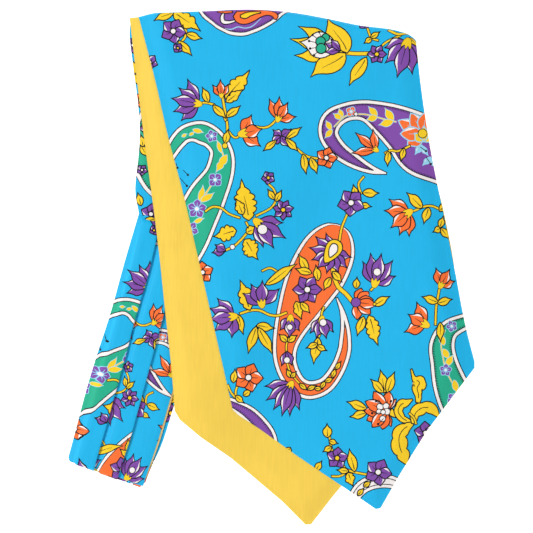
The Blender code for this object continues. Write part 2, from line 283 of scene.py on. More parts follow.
CONES = table(Cone, (
    (PURPLE, 2.9, 1.7, ((202, 2, 6), (209, 7, 12.5), (217, 8, 20), (227, 8, 25.7), (237, 8, 28),
        (247, 8, 27.5), (257, 8, 23.5), (268, 7, 18), (275, 5, 13.5), (284, 0, 10), (292, -8, 7))),
    (GREEN, 2.9, 0, ((170, 178, 2.5), (168, 168, 4), (169, 158, 5.5), (172, 150.5, 6.8),
        (177, 142.5, 7.8), (184, 135.2, 8.5), (192.5, 132.2, 9.6), (202, 133, 11.4),
        (212, 138, 10.9), (220, 148, 10.8), (222, 160, 12.8), (218.2, 176.5, 15), (207, 197, 19.4),
        (197, 218, 20.8), (187, 240, 21.3), (176, 259, 20), (165, 276, 14), (156, 290, 5))),
    (PURPLE, 3, 1.6, ((386, 173.5, 0.6), (371, 169.5, 4), (354, 161, 7), (338, 149.5, 8.5),
        (328.5, 135, 9.5), (332, 120.5, 10.5), (347, 112, 9), (365, 111, 10.5), (384, 119, 17),
        (404, 131, 24), (424, 146, 31), (452, 162, 26), (478, 176, 27))),
    (ORANGE, 3, 0, ((340, 225.5, 3), (338.5, 229, 13), (334, 239, 22), (328, 252, 27),
        (319, 270, 28.5), (310, 286, 26.5), (301, 304, 22.5), (291, 326, 16.5), (285.5, 344, 12.5),
        (285, 360, 10.8), (290, 375, 10), (299, 386, 9), (311, 390, 8.8), (326, 384.5, 7.8),
        (337.5, 369, 7), (344, 352, 6.4), (345.3, 338, 5.4), (344.8, 325, 3.8), (342, 311, 2),
        (336.8, 298, 0.4))),
    (GREEN, 2.9, 1.7, ((484, 316, 7), (466, 321.5, 7.8), (449, 330, 10), (442, 345, 12.5),
        (444, 362, 13.5), (450, 384, 17), (459, 404, 19), (470, 424, 16), (480, 445, 8))),
    (PURPLE, 2.6, 2.2, ((222, 400, 5), (236, 406, 6), (249, 414, 7.5), (260, 425, 8), (268, 437, 8),
        (272, 452, 6), (273, 466, 2))),
    (WHITE, 2.7, 0, ((349, 508, 4), (354, 497, 5.5), (363, 486.5, 6.5), (376, 481.5, 6.5),
        (391, 482, 6), (404, 488, 5), (415, 497, 3))),
))

# Freely curved forms: spines with half widths.
PATCHES = table(Patch, (
    (ORANGE, ((218, 11.5, 0.3), (224, 12.4, 1), (232, 12, 0.6))),
    (WHITE, ((223.5, 14, 0.5), (222.2, 18, 1.3), (223.6, 22.4, 1.5), (229, 22.9, 1),
        (235, 21.4, 0.5))),
    (HALO, ((225, 29.2, 0.25), (231.5, 29.8, 0.5), (238, 27.4, 0.5), (245, 28.6, 0.5),
        (252.5, 26.6, 0.5), (261, 19, 0.25))),
    (ORANGE, ((235.5, 14.5, 3), (240, 17.3, 5.8), (245, 18, 6.2), (252, 16.4, 5.2),
        (259, 13.9, 3.8), (266, 12.8, 2.6), (272, 14, 2.1), (275.4, 16.6, 2.1), (275, 19.2, 1.1))),
    (YELLOW, ((241, 16.8, 0.8), (245, 16.4, 2.2), (250, 14.4, 1.6), (256, 13.2, 0.7),
        (260, 12.8, 0.2))),
    (YELLOW, ((390, 411.5, 3.2), (394, 414.5, 2), (401, 416.5, 1.4))),
))
FRONDS = table(Frond, (
    (2, ((412, 422.5, 0.8), (403, 418.5, 3.2), (398, 411, 3.8), (401, 404.5, 4.4), (406, 402.6, 3),
        (412, 399.6, 0.5))),
    (3, ((412.5, 424, 1.4), (404, 428.5, 5.6), (399, 437, 7.6), (400, 448, 7.4), (403.5, 456, 5.8),
        (406.5, 464, 0.8))),
    (2, ((413, 423, 1.8), (415.5, 413, 5), (423, 407.5, 6), (432, 409, 4.6), (439.5, 417.5, 0.6))),
    (2, ((417.5, 402, 2), (418.5, 395, 3.2), (417, 388, 4.8), (419.5, 382.5, 7.6), (414, 378, 1.8),
        (411.2, 369.5, 0.5))),
))

STEMS = table(Stem, (
    (1.7, ((174.9, 15.3), (177.5, 19), (178, 24.5))),
    (1.8, ((183, 26), (186, 31), (185, 38), (178, 46))), (3.2, ((340, 52.5), (354, 54), (369, 54))),
    (1.6, ((380, 48), (387, 42), (400.6, 35.7))), (1.6, ((378, 41), (371, 38), (366.9, 27.6))),
    (2.4, ((388, 30), (398, 34.6), (407, 31.5))), (1.7, ((198.4, 104.1), (206, 103), (214, 105))),
    (2, ((225, 147), (227.5, 130), (226, 117), (221.8, 93))),
    (1.6, ((214, 105), (221, 112), (226, 121))),
    (1.7, ((252, 126), (262, 128), (270, 126), (278, 118))),
    (1.6, ((228, 131), (235, 138), (242.4, 134))),
    (1.8, ((291, 143), (299, 151), (307.5, 156.8), (319.4, 159))),
    (1.7, ((205.4, 211.6), (213, 207), (221.6, 208.4), (229, 214), (240, 218))),
    (1.6, ((268.3, 184), (274, 190), (276, 199), (271, 208), (256, 216))),
    (1.8, ((224, 251), (233, 247), (241, 240), (248, 232))),
    (1.6, ((255, 228), (249, 227), (246, 222))), (1.7, ((363.8, 176.7), (358.5, 184), (361, 194))),
    (1.8, ((347, 214.5), (341.7, 227.8), (339.2, 242))),
    (3.6, ((332.8, 262), (333.5, 274), (338, 286.4), (346, 294), (353, 302.5))),
    (1.4, ((289.4, 336), (286.5, 344), (286.5, 352), (287.5, 364), (291.5, 374), (300, 384))),
    (0.7, ((300, 384), (308, 388.8), (315.2, 387.6), (321.2, 388), (325.6, 381.8), (332.4, 377.8),
        (336, 369))),
    (1.6, ((323.9, 306.8), (321.5, 314), (322.6, 322))),
    (1.6, ((321, 332), (319, 336), (317.5, 340))),
    (1.9, ((286.7, 312.5), (278, 315.5), (269.4, 314.7), (260, 310.5), (250.9, 310.3),
        (240, 313.6))),
    (1.7, ((384.7, 153.3), (391, 150.5), (398, 151.2), (410, 146))),
    (1.7, ((408.8, 212.5), (415, 210.5), (422.8, 207), (432, 206), (441.6, 210.2))),
    (1.7, ((374.4, 282.8), (373.5, 287), (370.5, 290.5))),
    (1.8, ((440, 284.4), (438, 296), (436, 307.8), (435.3, 325))),
    (1.7, ((248.5, 384), (239.3, 384.5), (236, 390), (235.7, 397.9))),
    (1.6, ((227.7, 384.5), (231, 392), (235, 397))),
    (1.7, ((342.5, 464.4), (346, 469), (354.5, 472), (368.6, 474.7))),
    (1.7, ((329, 433), (331, 447), (333, 452))), (1.6, ((331.7, 476.3), (340, 476), (347, 472))),
    (1.6, ((384.8, 390.6), (386, 397), (388, 402))), (1.6, ((416, 424), (414, 418), (409, 413))),
    (1.6, ((262, 271), (270, 268), (278, 272))),
))
LEAVES = table(Leaf, (
    (172.9, 12.2, 155.5, 20.4, 8, 0.1), (174, 12, 199.4, 30.6, 13, -0.1, 4),
    (187, 34.7, 200.9, 38.8, 6.5, 0.1), (179, 41.8, 191.2, 55.1, 7, -0.1),
    (365.9, 58.2, 349.6, 84.7, 11, 0.12), (371, 38, 378.6, 33, 4.5), (371, 39, 365, 43, 4.5),
    (409, 38, 418, 46, 6), (208.6, 102, 203, 89, 6.5, 0.1), (213.7, 106, 225.5, 118, 6.5, -0.1),
    (227, 117, 239.5, 107, 6.5, 0.1), (226, 99, 248.8, 71.8, 13, 0.14, 5),
    (226.5, 102, 242, 90.8, 7.5, -0.1, 3), (225.5, 143, 228, 131, 6),
    (303, 155, 305.9, 173, 6.5, 0.1), (311, 158.5, 316.5, 172.5, 6.5, -0.1),
    (248.8, 220, 241.7, 181, 18, -0.1, 6), (243, 214, 236.5, 200, 8, 0.1, 3),
    (274, 199, 268.5, 190.5, 5), (276, 201, 281, 191.5, 5), (236, 231, 215, 236.5, 13, -0.16, 4),
    (245, 240, 257, 258.5, 14, 0.12, 5), (247, 233, 258, 227, 8, 0.25, 3),
    (363, 193, 377.5, 193.2, 7.5, 0.1), (361, 205, 370, 206.5, 5), (356, 196, 353.5, 186, 5),
    (308, 271, 299, 255.5, 7, 0.1), (311, 273, 296.5, 269, 6.5, -0.1), (330, 278, 324.5, 289, 6),
    (333, 272, 341, 281, 6), (318, 280, 316, 266.5, 6.5), (296, 302, 301, 318, 8, 0.12, 3),
    (301, 303, 309, 312, 6), (287, 341, 280, 335, 5.5), (288, 341, 296, 336, 5.5),
    (291, 377, 287, 370, 4.2), (291.5, 377, 295.5, 372.5, 3.6), (300, 384, 306.3, 389.2, 3.8),
    (308.2, 389, 315.2, 386, 3.8), (315, 388.3, 321.4, 388.8, 3.4), (321, 387.5, 325.4, 381.5, 3.4),
    (325.4, 381.4, 332.4, 378.4, 3.8), (332.1, 377, 335.3, 369.2, 3.8),
    (335.9, 368.8, 340.3, 362.4, 3.6), (318, 338, 313.7, 362.5, 9.5, 0.12),
    (317, 344, 307.5, 347.5, 5), (317.5, 346, 325.5, 350, 5),
    (250, 309.5, 240.6, 281.5, 12, 0.1, 4), (266, 284.3, 296, 264.5, 8.5, -0.14),
    (238, 315, 243, 333, 6.5, 0.1), (257, 325.5, 273.5, 328, 7.5, 0.12),
    (256, 327, 248.5, 352, 8.5, 0.1), (259, 328, 272, 353, 8.5, -0.1),
    (388, 152, 387.5, 165, 5.5, 0.1), (404, 149, 401, 160, 5), (422, 207.5, 407.5, 193.5, 9, 0.12),
    (428.3, 208, 424, 222.5, 7.5, 0.1), (440, 211, 447, 202, 6), (441, 228, 434, 231.5, 5.5),
    (441.5, 228.5, 448.5, 238, 6), (440, 227, 443, 217.5, 5.5), (356, 288, 356.8, 278.5, 6),
    (374, 305, 388.5, 297, 7, -0.1), (363.4, 317, 357.5, 334.5, 7.5, 0.1),
    (369, 316, 377.5, 344, 12, 0.12, 5), (437.5, 302, 423, 297, 7, 0.1),
    (438, 303, 451, 299.5, 7, -0.1), (440, 323, 440.5, 340.5, 6.5, 0.1),
    (233.5, 382, 235, 370, 6, 0.1), (243.8, 395, 250.5, 390.5, 5), (236, 396, 243, 402, 5),
    (366, 408, 348, 402, 8, 0.12), (366, 413, 351, 416.5, 7, -0.12), (385, 392, 380.5, 371, 8, 0.1),
    (383, 392, 371.5, 380, 7, 0.1), (387, 392, 394, 373, 7.5, -0.1), (327.5, 437, 327, 425, 8),
    (329.5, 441, 336.5, 443, 4.5), (331, 447, 324, 451, 5), (354.5, 471, 349.5, 450, 8, -0.1),
    (348, 471, 338, 470, 5), (348, 473, 352.5, 485, 8, 0.12, 3), (364, 486, 370, 482, 4),
    (358, 495, 363, 489, 4), (290, 448, 285, 455, 6), (316, 470, 321, 462, 5.5),
))

SPRAYS = table(Spray, (
    (407, 43, 13.5, PURPLE, True, ((385.5, 48), (386, 62.5), (397.2, 76.5), (412, 73),
        (419.5, 63.5))),
    (198.4, 104.1, 10.5, PURPLE, True, ((188.2, 80.8), (180.3, 89.2), (172.8, 98.8), (174.9, 111.6),
        (182.4, 120))),
    (221.5, 96, 6.5, ORANGE, True, ((213.5, 86.5), (220.5, 81.5), (228, 86))),
    (242.4, 134, 12, ORANGE, True, ((251, 116.5), (261, 129.5), (259.5, 145.8))),
    (278, 119.5, 8.5, ORANGE, True, ((269.8, 100.5), (279.3, 98.6), (287.2, 104), (294.6, 117.2))),
    (281, 137, 7.5, PURPLE, False, ((290, 130.2), (272, 143), (287.6, 146), (274, 131))),
    (286, 139, 6, YELLOW, False, ((300.4, 128.2), (297, 150.5))),
    (276, 141, 5.5, YELLOW, False, ((264.2, 150.4),)),
    (257, 222, 12, PURPLE, True, ((281.4, 222.8), (284.5, 237.6), (273, 247), (262.8, 246))),
    (225, 250.5, 8, PURPLE, False, ((213.5, 252.5), (216.5, 245.5))),
    (332, 253, 9, PURPLE, False, ((326.4, 234.5), (316.5, 237.5), (310.5, 248), (313, 259.5),
        (318, 267.5), (327, 272), (338, 271.5), (346, 267), (350, 257))),
    (290.5, 318, 9.5, PURPLE, True, ((281, 329), (289.5, 336.5), (298.5, 329.5))),
    (287, 352, 7, PURPLE, False, ((282, 364.5), (291.5, 364))),
    (322, 319, 9, PURPLE, True, ((311, 332), (316.5, 337), (326, 337), (332.5, 331))),
    (261.8, 304, 11, PURPLE, True, ((244, 294), (251.6, 285.2), (262.3, 282), (278.4, 289.6))),
    (233.5, 316.3, 11.5, PURPLE, True, ((218.4, 299.4), (210.8, 308.5), (210.6, 319), (215.6, 330),
        (232, 336))),
    (376, 150, 7.5, ORANGE, True, ((356.2, 133.6), (373, 130.8), (353, 153))),
    (408.8, 212.5, 11.5, ORANGE, True, ((390, 200), (385.6, 210.8), (391.8, 227), (399.8, 233.8),
        (409, 235))),
    (374.8, 283.5, 11.5, PURPLE, True, ((363.4, 263), (370.6, 254.6), (381, 255), (391.8, 261.6),
        (394, 276.6))),
    (357.2, 302.3, 9.5, ORANGE, False, ((361, 288.8), (368.2, 292.2), (372.6, 299.8), (375, 304.6),
        (370, 313.6), (357.2, 319)), 0.2),
    (440.8, 285.5, 9, ORANGE, True, ((436.2, 269.4), (449, 270.6), (453.6, 281.6))),
    (386, 411, 4.5, ORANGE, False, ((397, 398), (391.5, 427.5)), 1.1),
    (386, 411, 10.5, ORANGE, False, ((389, 392), (382.5, 428.5), (374, 392), (372.5, 426.5),
        (366, 401.5), (364.8, 411), (367.5, 420)), 0.15),
    (425.5, 324.5, 11.5, ORANGE, True, ((417, 303.4), (409.2, 315), (405.6, 331.6))),
    (291, 384, 9.5, PURPLE, True, ((266, 386), (267.4, 399.4), (274.2, 408.4), (282.2, 414.8),
        (289.8, 414.6), (299, 408.4))),
))
BLOOMS = table(Bloom, (
    (173.4, 31.6, 12.2, 80), (150, 62.5, 7.5, 20), (178, 48.5, 4.5, 40, 4, PURPLE, YELLOW),
    (376.6, 54.6, 9, 60, 6, PURPLE, YELLOW), (363.5, 24, 5, 40, 4),
    (326.4, 158, 10.4, 70, 5, ORANGE), (268.3, 178, 6.2, 100, 5, PURPLE, YELLOW),
    (283.2, 210, 9.8, 40, 7, PURPLE, YELLOW), (202.7, 272.4, 10.5, 50, 5, ORANGE),
    (351, 202.8, 13.2, 95), (307.3, 289.6, 14, 60, 6), (248.5, 377.3, 14.2, 75, 5, ORANGE),
    (425.5, 432.9, 11, 50), (337.1, 457.9, 10.4, 60, 5, PURPLE, YELLOW), (378.1, 472, 13.2, 80),
))

# What lies inside the green and purple cones has a pale line round it in place of a dark one.
INNER_STEMS = table(Stem, (
    (1, ((355.8, 114.3), (364, 114.5), (372, 116), (385, 119.5), (396, 122))),
    (1, ((351, 114), (343, 118), (334, 127))), (1.3, ((221.5, 150), (223.5, 156))),
    (1.3, ((205.5, 194.5), (211, 186))),
    (1, ((445, 330), (441, 343), (443, 358), (446, 370), (453, 384), (462, 396))),
))
INNER_LEAVES = table(Leaf, (
    (182, 136.8, 187, 134.2, 2.8), (189.5, 135.6, 194.5, 132.4, 2.8),
    (193, 129.8, 203.4, 132.8, 4.4, -0.1), (221.8, 153, 217, 140.5, 4.2, 0.1),
    (227, 155, 216, 172.5, 7, 0, 2), (200.5, 202, 203, 185.5, 5.6, 0.2),
    (201, 202, 214, 193, 6, 0.15), (194, 222.5, 204, 218.5, 4, -0.1), (342, 118, 339, 109, 5),
    (341, 119, 333.5, 114, 5), (331, 130, 326, 121, 5), (332, 130, 325, 138, 5),
    (377, 116, 368.5, 107, 6), (377, 117, 366.5, 120, 6), (393, 121, 385, 108.5, 7),
    (393, 121.5, 379, 125, 7), (444, 345, 440, 334, 6), (443, 349, 449, 359, 6),
    (446, 366, 453, 355, 6), (454, 380, 457, 393, 6), (459, 390, 467, 396, 6),
))
INNER_SPRAYS = table(Spray, (
    (424, 134, 13, ORANGE, False, ((399, 121), (411, 114), (425, 113), (401, 134),
        (408, 144.5)), 0.25),
    (424, 141, 9, YELLOW, False, ((415, 134), (424, 127), (433, 134)), 0.6),
    (421, 146, 4, HALO, False, ((416, 153), (427, 154))),
    (430, 158, 4, HALO, False, ((424, 164), (435, 166))),
))
INNER_BLOOMS = table(Bloom, (
    (211.8, 136.4, 6, 40), (215.3, 180, 7.2, 45, 4), (197, 209, 9.4, -85), (190.5, 229.5, 8, 20),
    (351, 111.8, 5, 30, 4, ORANGE), (451.7, 326.2, 5.6, 30), (445.5, 370, 6, 60),
    (453.5, 399, 6.4, 10),
))

# The open lily at the top: petals, its pale inside, and what stands in it.
LILY_LEAVES = table(Leaf, (
    (338, 49, 299.6, 27.4, 14, 0.22), (336, 51, 291, 39.6, 12, 0.05),
    (336, 54, 295.8, 55.8, 14, -0.16), (347, 53, 328, 19, 19, -0.3),
    (345, 54, 311.5, 76.5, 19, 0.26), (336, 48, 301, 42.5, 25, 0, 0, WHITE),
))
LILY_DOTS = table(Dot, (
    (325.5, 38, 3.4, GREEN), (320.5, 42, 4.3, GREEN), (321, 49, 4.6, GREEN),
))
LILY_SPRAY = Spray(339.5, 50.5, 6.0, PURPLE, False, ((325.5, 44.0), (331.5, 40.5), (326.0, 52.5)))

# The pale drop in the large cone's head, dots, and short strokes with a dot at their tip.
DROP = table(Patch, (
    (YELLOW, ((325, 262.5), (325, 251), (328.5, 242.5), (335, 240), (341, 243.5), (341.5, 250.5),
        (335.5, 257.5))),
    (WHITE, ((329.6, 256.5), (329.6, 249), (332.6, 244.2), (336.8, 245.6), (336.8, 251),
        (333, 255))),
))
DOTS = table(Dot, (
    (232.6, 247, 2.2, WHITE), (262.5, 229.5, 4.6, WHITE), (377, 272, 3.4, WHITE),
    (355.8, 302.3, 4.4, PURPLE), (225, 146, 2.4, YELLOW), (323, 322.5, 3.2, WHITE),
    (355.8, 114.3, 1.6, WHITE), (422.5, 133.5, 4.2, YELLOW), (380, 406.5, 3, WHITE),
    (382.5, 418.5, 2.6, WHITE), (386, 406, 2.8, WHITE), (378.8, 411.5, 2.2, WHITE),
    (386.8, 411.5, 2.9, WHITE), (383, 412, 2, WHITE), (286.9, 360, 2.8, WHITE),
    (289.8, 327, 2.6, WHITE), (374.5, 304, 1.2, YELLOW),
))
STROKES = table(Stroke, (
    (321, 37, 319, 32.5), (317, 39, 312.5, 35.5), (315.5, 43, 309, 41.5), (316, 48, 310, 49),
    (318, 52, 314, 55.5), (382, 405, 376, 401), (381, 413, 372, 413), (384, 418, 378, 424),
    (388, 408, 391, 401), (183, 170, 188, 175), (180, 178, 187, 186), (176, 163, 177.5, 168),
    (420, 147, 426, 151), (426, 157, 431, 164),
))

# The narrow part's own motifs.
NECK_CONES = table(Cone, (
    (GREEN, 3.6, 2.4, ((150, 96, 4), (150, 112, 9), (147, 130, 13), (146, 150, 14), (146, 168, 12),
        (149, 184, 7), (154, 196, 2))),
))
NECK_BLOOMS = table(Bloom, (
    (133, 45, 8, 10), (151, 214, 10, 60), (146, 128, 6, 30), (142, 170, 5),
    (140, 100, 6.5, 20, 5, ORANGE),
))
NECK_LEAVES = table(Leaf, (
    (134, 74, 131.5, 60, 8), (140, 84, 134, 74, 6), (150, 232, 158, 227, 6),
    (141, 146, 147, 156, 6), (143, 146, 141, 136, 6), (141, 205, 138, 194, 6),
))


def column(rows, name):
    return np.array([getattr(row, name) for row in rows])


def between(a, b, slope_a, slope_b, span, t):
    """A smooth passage from one value to the next that keeps the slope at each."""
    return (a * (2 * t**3 - 3 * t**2 + 1) + b * (3 * t**2 - 2 * t**3)
            + span * slope_a * (t**3 - 2 * t**2 + t) + span * slope_b * (t**3 - t**2))


def smooth(xs, ys, value):
    """A smooth reading of a column of values."""
    value = np.clip(np.asarray(value, float), xs[0], xs[-1])
    slopes = np.gradient(ys, xs)
    low = np.clip(np.searchsorted(xs, value) - 1, 0, len(xs) - 2)
    span = xs[low + 1] - xs[low]
    t = (value - xs[low]) / span
    return between(ys[low], ys[low + 1], slopes[low], slopes[low + 1], span, t)


def flow(rows, key, name, value):
    """A smooth reading of one named column at values of another."""
    return smooth(column(rows, key), column(rows, name), value)


def axes(tilt):
    angle = math.radians(tilt)
    up = np.array((-math.sin(angle), math.cos(angle)))
    right = np.array((math.cos(angle), math.sin(angle)))
    return up, right


def crest_y(x):
    return flow(CREST, "x", "y", x)


def ease(part):
    part = np.clip(part, 0.0, 1.0)
    return part * part * (3.0 - 2.0 * part)


def crest_line(start, stop, count, reach):
    """Places along the top fold, at a distance past its crest, without the first and last."""
    return [np.array((x, float(crest_y(x)) + reach)) for x in np.linspace(start, stop, count)[1:-1]]


def blade_edge(blade, side, station):
    up, right = axes(blade.tilt)
    stations = column(blade.sections, "station")
    if station < CORNER:
        across = np.interp(station, stations, column(blade.sections, side))
    else:
        body = [row for row in blade.sections if row.station >= CORNER]
        across = flow(body, "station", side, station)
        past = max(0.0, station - body[-1].station)
        wider = getattr(body[-1], side) - getattr(body[-2], side)
        across = across + past * wider / (body[-1].station - body[-2].station)
    return np.array(blade.tip) + up * station + right * float(across)


def top_station(blade, side, reach):
    """Station where a side of the blade comes to a distance past the top fold's crest."""
    up, _ = axes(blade.tilt)
    station = blade.sections[-1].station
    for _ in range(12):
        x, y = blade_edge(blade, side, station)
        station += float(crest_y(x) + reach - y) / up[1]
    return station


def blade_cut(blade, reach, inset=0.0):
    """The flat cut of a blade that goes on past the crest, and its free edges alone."""
    sides = {}
    for side in ("left", "right"):
        end = top_station(blade, side, reach)
        first = [row.station for row in blade.sections if row.station < CORNER]
        rest = list(np.linspace(CORNER, end, 60))
        sides[side] = [blade_edge(blade, side, station) for station in first + rest]
    start, stop = sides["right"][-1][0], sides["left"][-1][0]
    top = crest_line(start, stop, 60, reach)
    free = np.array(list(reversed(sides["left"])) + sides["right"])
    cut = np.array(list(free) + top)
    if inset:
        free = grow(free, -inset, closed=False)
        cut = np.array(list(free) + top)
    return cut, free


def edge_distance(places, line, closed):
    """Distance from each place to a line of points."""
    start = np.asarray(line, float)
    end = np.roll(start, -1, axis=0)
    if not closed:
        start, end = start[:-1], end[:-1]
    nearest = np.full(len(places), 1e9)
    for a, b in zip(start, end):
        along = b - a
        length = max(float(along @ along), 1e-9)
        part = np.clip((places - a) @ along / length, 0.0, 1.0)
        gap = places - a - part[:, None] * along
        nearest = np.minimum(nearest, (gap**2).sum(axis=1))
    return np.sqrt(nearest)


def winding(places, shape):
    """How often a closed shape goes round each place."""
    count = np.zeros(len(places), int)
    x, y = places[:, 0], places[:, 1]
    for (ax, ay), (bx, by) in zip(shape, np.roll(shape, -1, axis=0)):
        side = (bx - ax) * (y - ay) - (x - ax) * (by - ay)
        count += ((ay <= y) & (by > y) & (side > 0)).astype(int)
        count -= ((ay > y) & (by <= y) & (side < 0)).astype(int)
    return count


def area_of(shape):
    x, y = np.asarray(shape, float).T
    return 0.5 * float(np.sum(x * np.roll(y, -1) - np.roll(x, -1) * y))


def grow(shape, distance, closed=True):
    """A shape with its edge moved out by a distance, or in for a negative one."""
    shape = np.asarray(shape, float)
    before = shape - np.roll(shape, 1, axis=0)
    after = np.roll(shape, -1, axis=0) - shape
    if not closed:
        before[0] = after[0]
        after[-1] = before[-1]
    before /= np.maximum(np.linalg.norm(before, axis=1), 1e-9)[:, None]
    after /= np.maximum(np.linalg.norm(after, axis=1), 1e-9)[:, None]
    along = before + after
    size = np.maximum(np.linalg.norm(along, axis=1), 0.35)
    outward = np.stack((along[:, 1], -along[:, 0]), axis=1) / size[:, None]
    stretch = np.minimum(2.0 / size, 2.4)
    sign = 1.0 if not closed or area_of(shape) > 0 else -1.0
    return shape + outward * (distance * stretch * sign)[:, None]


def drape(places, edge, height):
    past = np.where(winding(places, edge) != 0, 0.0, edge_distance(places, edge, True)) - DRAPE_KEEP
    part = np.clip(past / (DRAPE_FALL * height), 0.0, 1.0)
    return height * 0.5 * (1.0 + np.cos(np.pi * part))


# The print's drawing tools. A drawing is a list of (ink, shape), later ones over earlier ones.

def curve(points, closed=False, steps=5):
    """A smooth line through points."""
    points = np.asarray(points, float)
    if closed:
        points = np.vstack((points[-1:], points, points[:2]))
    else:
        first = 2.0 * points[0] - points[1]
        last = 2.0 * points[-1] - points[-2]
        points = np.vstack((first, points, last))
    made = []
    for i in range(1, len(points) - 2):
        a, b, c, d = points[i - 1:i + 3]
        for t in np.arange(steps) / steps:
            made.append(0.5 * (2 * b + (c - a) * t + (2 * a - 5 * b + 4 * c - d) * t**2
                               + (3 * b - a - 3 * c + d) * t**3))
    if not closed:
        made.append(points[-2])
    return np.array(made)


def sideways(line):
    """The unit step to one side at each point of a line."""
    along = np.gradient(line[:, :2], axis=0)
    along /= np.maximum(np.linalg.norm(along, axis=1), 1e-9)[:, None]
    return np.stack((along[:, 1], -along[:, 0]), axis=1)


def closed_round(line, left, right):
    """The closed shape between a line moved to one side and to the other."""
    return np.vstack((line[:, :2] + left, (line[:, :2] - right)[::-1]))


def ribbon(spine, steps=5):
    """A closed shape round a spine of (x, y, half width)."""
    line = curve(spine, steps=steps)
    side = sideways(line) * np.maximum(line[:, 2], 0.02)[:, None]
    return closed_round(line, side, side)


def narrowed(line, narrower):
    """The shape round a line of (x, y, half width), made narrower all round."""
    half = line[:, 2] - narrower
    keep = half > 0.05
    side = sideways(line[keep]) * half[keep][:, None]
    return closed_round(line[keep], side, side)


def frond(art, spine, lobes, colour=YELLOW):
    """A curled leaf with rounded lobes on both sides and one vein."""
    line = curve(spine, steps=7)
    side = sideways(line) * line[:, 2:]
    place = np.linspace(0.0, 1.0, len(line))[:, None]
    left = 0.70 + 0.36 * np.abs(np.sin(np.pi * lobes * place)) ** 0.7
    right = 0.70 + 0.36 * np.abs(np.cos(np.pi * (lobes + 0.5) * place)) ** 0.7
    ink(art, colour, closed_round(line, side * left, side * right))
    middle = line[len(line) // 8:len(line) * 3 // 4:3, :2]
    vein = np.column_stack((middle, np.full(len(middle), 0.4)))
    art.append((DARK, ribbon(vein, steps=3)))


def ink(art, colour, shape, line=LINE):
    if line:
        art.append((DARK, grow(shape, line)))
    art.append((colour, np.asarray(shape, float)))


def turned(points, x, y, turn):
    angle = math.radians(turn)
    c, s = math.cos(angle), math.sin(angle)
    points = np.asarray(points, float)
    across, down = points[:, 0], points[:, 1]
    return np.stack((x + across * c - down * s, y + across * s + down * c), axis=1)


def petal_shape(length, width, round_at=0.6, blunt=0.75, bend=0.0, lobes=0, depth=0.3,
                point=0.8, count=13):
    """The outline of a petal or leaf from its root at 0 to its tip, and the line down its middle."""
    t = np.linspace(0.0, 1.0, count if not lobes else max(count, lobes * 7 + 1))
    power = math.log(0.5) / math.log(round_at)
    half = 0.5 * width * np.sin(np.pi * t**power).clip(0.0) ** blunt
    half = half * (1.0 - point * ease((t - 0.6) / 0.36))
    if lobes:
        half = half * (1.0 - depth + depth * 1.5 * np.abs(np.sin(np.pi * lobes * t)) ** 0.7)
    mid = bend * length * np.sin(np.pi * 0.5 * t) ** 2 - bend * length * 0.35 * t
    upper = np.stack((t * length, mid - half), axis=1)
    lower = np.stack((t * length, mid + half), axis=1)[::-1]
    spine = np.stack((t * length, mid), axis=1)
    return np.vstack((upper[:-1], lower[:-1])), spine


def petal(art, x, y, turn, length, width, colour, shine=0, line=LINE, vein=True, **form):
    """A petal with a white shine along one side, 1 or -1 of it, and a dark vein from its root."""
    shape, spine = petal_shape(length, width, **form)
    ink(art, colour, turned(shape, x, y, turn), line)
    if shine:
        t = np.linspace(0.35, 0.97, 7)
        part = spine[:, 0] / length
        edge = shape[:len(spine) - 1]
        wide = np.interp(spine[:, 0], edge[:, 0], np.abs(edge[:, 1] - spine[:-1, 1]))
        half = np.interp(t, part, wide)
        mid = np.interp(t, part, spine[:, 1])
        outer = np.stack((t * length, mid + shine * half * 0.97), axis=1)
        thin = 1.0 - 0.42 * np.sin(np.pi * (t - 0.35) / 0.62)
        inner = np.stack((t * length, mid + shine * half * thin), axis=1)
        art.append((WHITE, turned(np.vstack((outer, inner[::-1])), x, y, turn)))
    if vein:
        part = spine[int(len(spine) * 0.12):int(len(spine) * 0.62) + 1]
        widths = np.linspace(0.5, 0.16, len(part))
        vein_shape = ribbon(np.column_stack((part, widths)), steps=1)
        art.append((DARK, turned(vein_shape, x, y, turn)))


def leaf(art, x, y, tip_x, tip_y, width, bend=0.0, lobes=0, colour=YELLOW, line=LINE, vein=True):
    length = math.hypot(tip_x - x, tip_y - y)
    lean = math.atan(0.65 * bend)
    turn = math.degrees(math.atan2(tip_y - y, tip_x - x)) - math.degrees(lean)
    petal(art, x, y, turn, length * math.cos(lean), width, colour, line=line, vein=vein,
          round_at=0.46, blunt=0.8, bend=bend, lobes=lobes, point=0.72)


def stem(art, points, width=1.7, colour=YELLOW, line=0.8):
    points = np.asarray(points, float)
    spine = np.column_stack((points, np.full(len(points), width / 2.0)))
    ink(art, colour, ribbon(spine, steps=4), line)


def dot(art, x, y, radius, colour=WHITE, line=LINE, sides=14):
    angle = np.arange(sides) * 2.0 * np.pi / sides
    ring = np.stack((x + radius * np.cos(angle), y + radius * np.sin(angle)), axis=1)
    ink(art, colour, ring, line)


def flower(art, x, y, radius, turn=90.0, petals=5, colour=PURPLE, heart=WHITE, point=0.5,
           width=0.8, blunt=0.6, round_at=0.58, shine=True, line=LINE):
    """An open flower seen from the front."""
    for i in range(petals):
        petal(art, x, y, turn + 360.0 * i / petals, radius, radius * width * 5.0 / petals, colour,
              shine=-1 if shine and i % 2 == 0 else 0, round_at=round_at, blunt=blunt,
              point=point, line=line)
    dot(art, x, y, radius * HEART, heart, line)


def cone(art, colour, border, ticks, spine, edge=1.0):
    """A paisley cone or hook: a ribbon with a pale border between two dark lines."""
    line = curve(spine, steps=6)
    ink(art, WHITE, narrowed(line, 0.0), edge)
    art.append((DARK, narrowed(line, border)))
    art.append((colour, narrowed(line, border + BORDER_LINE)))
    if ticks:
        fringe(art, line, border + BORDER_LINE, ticks)


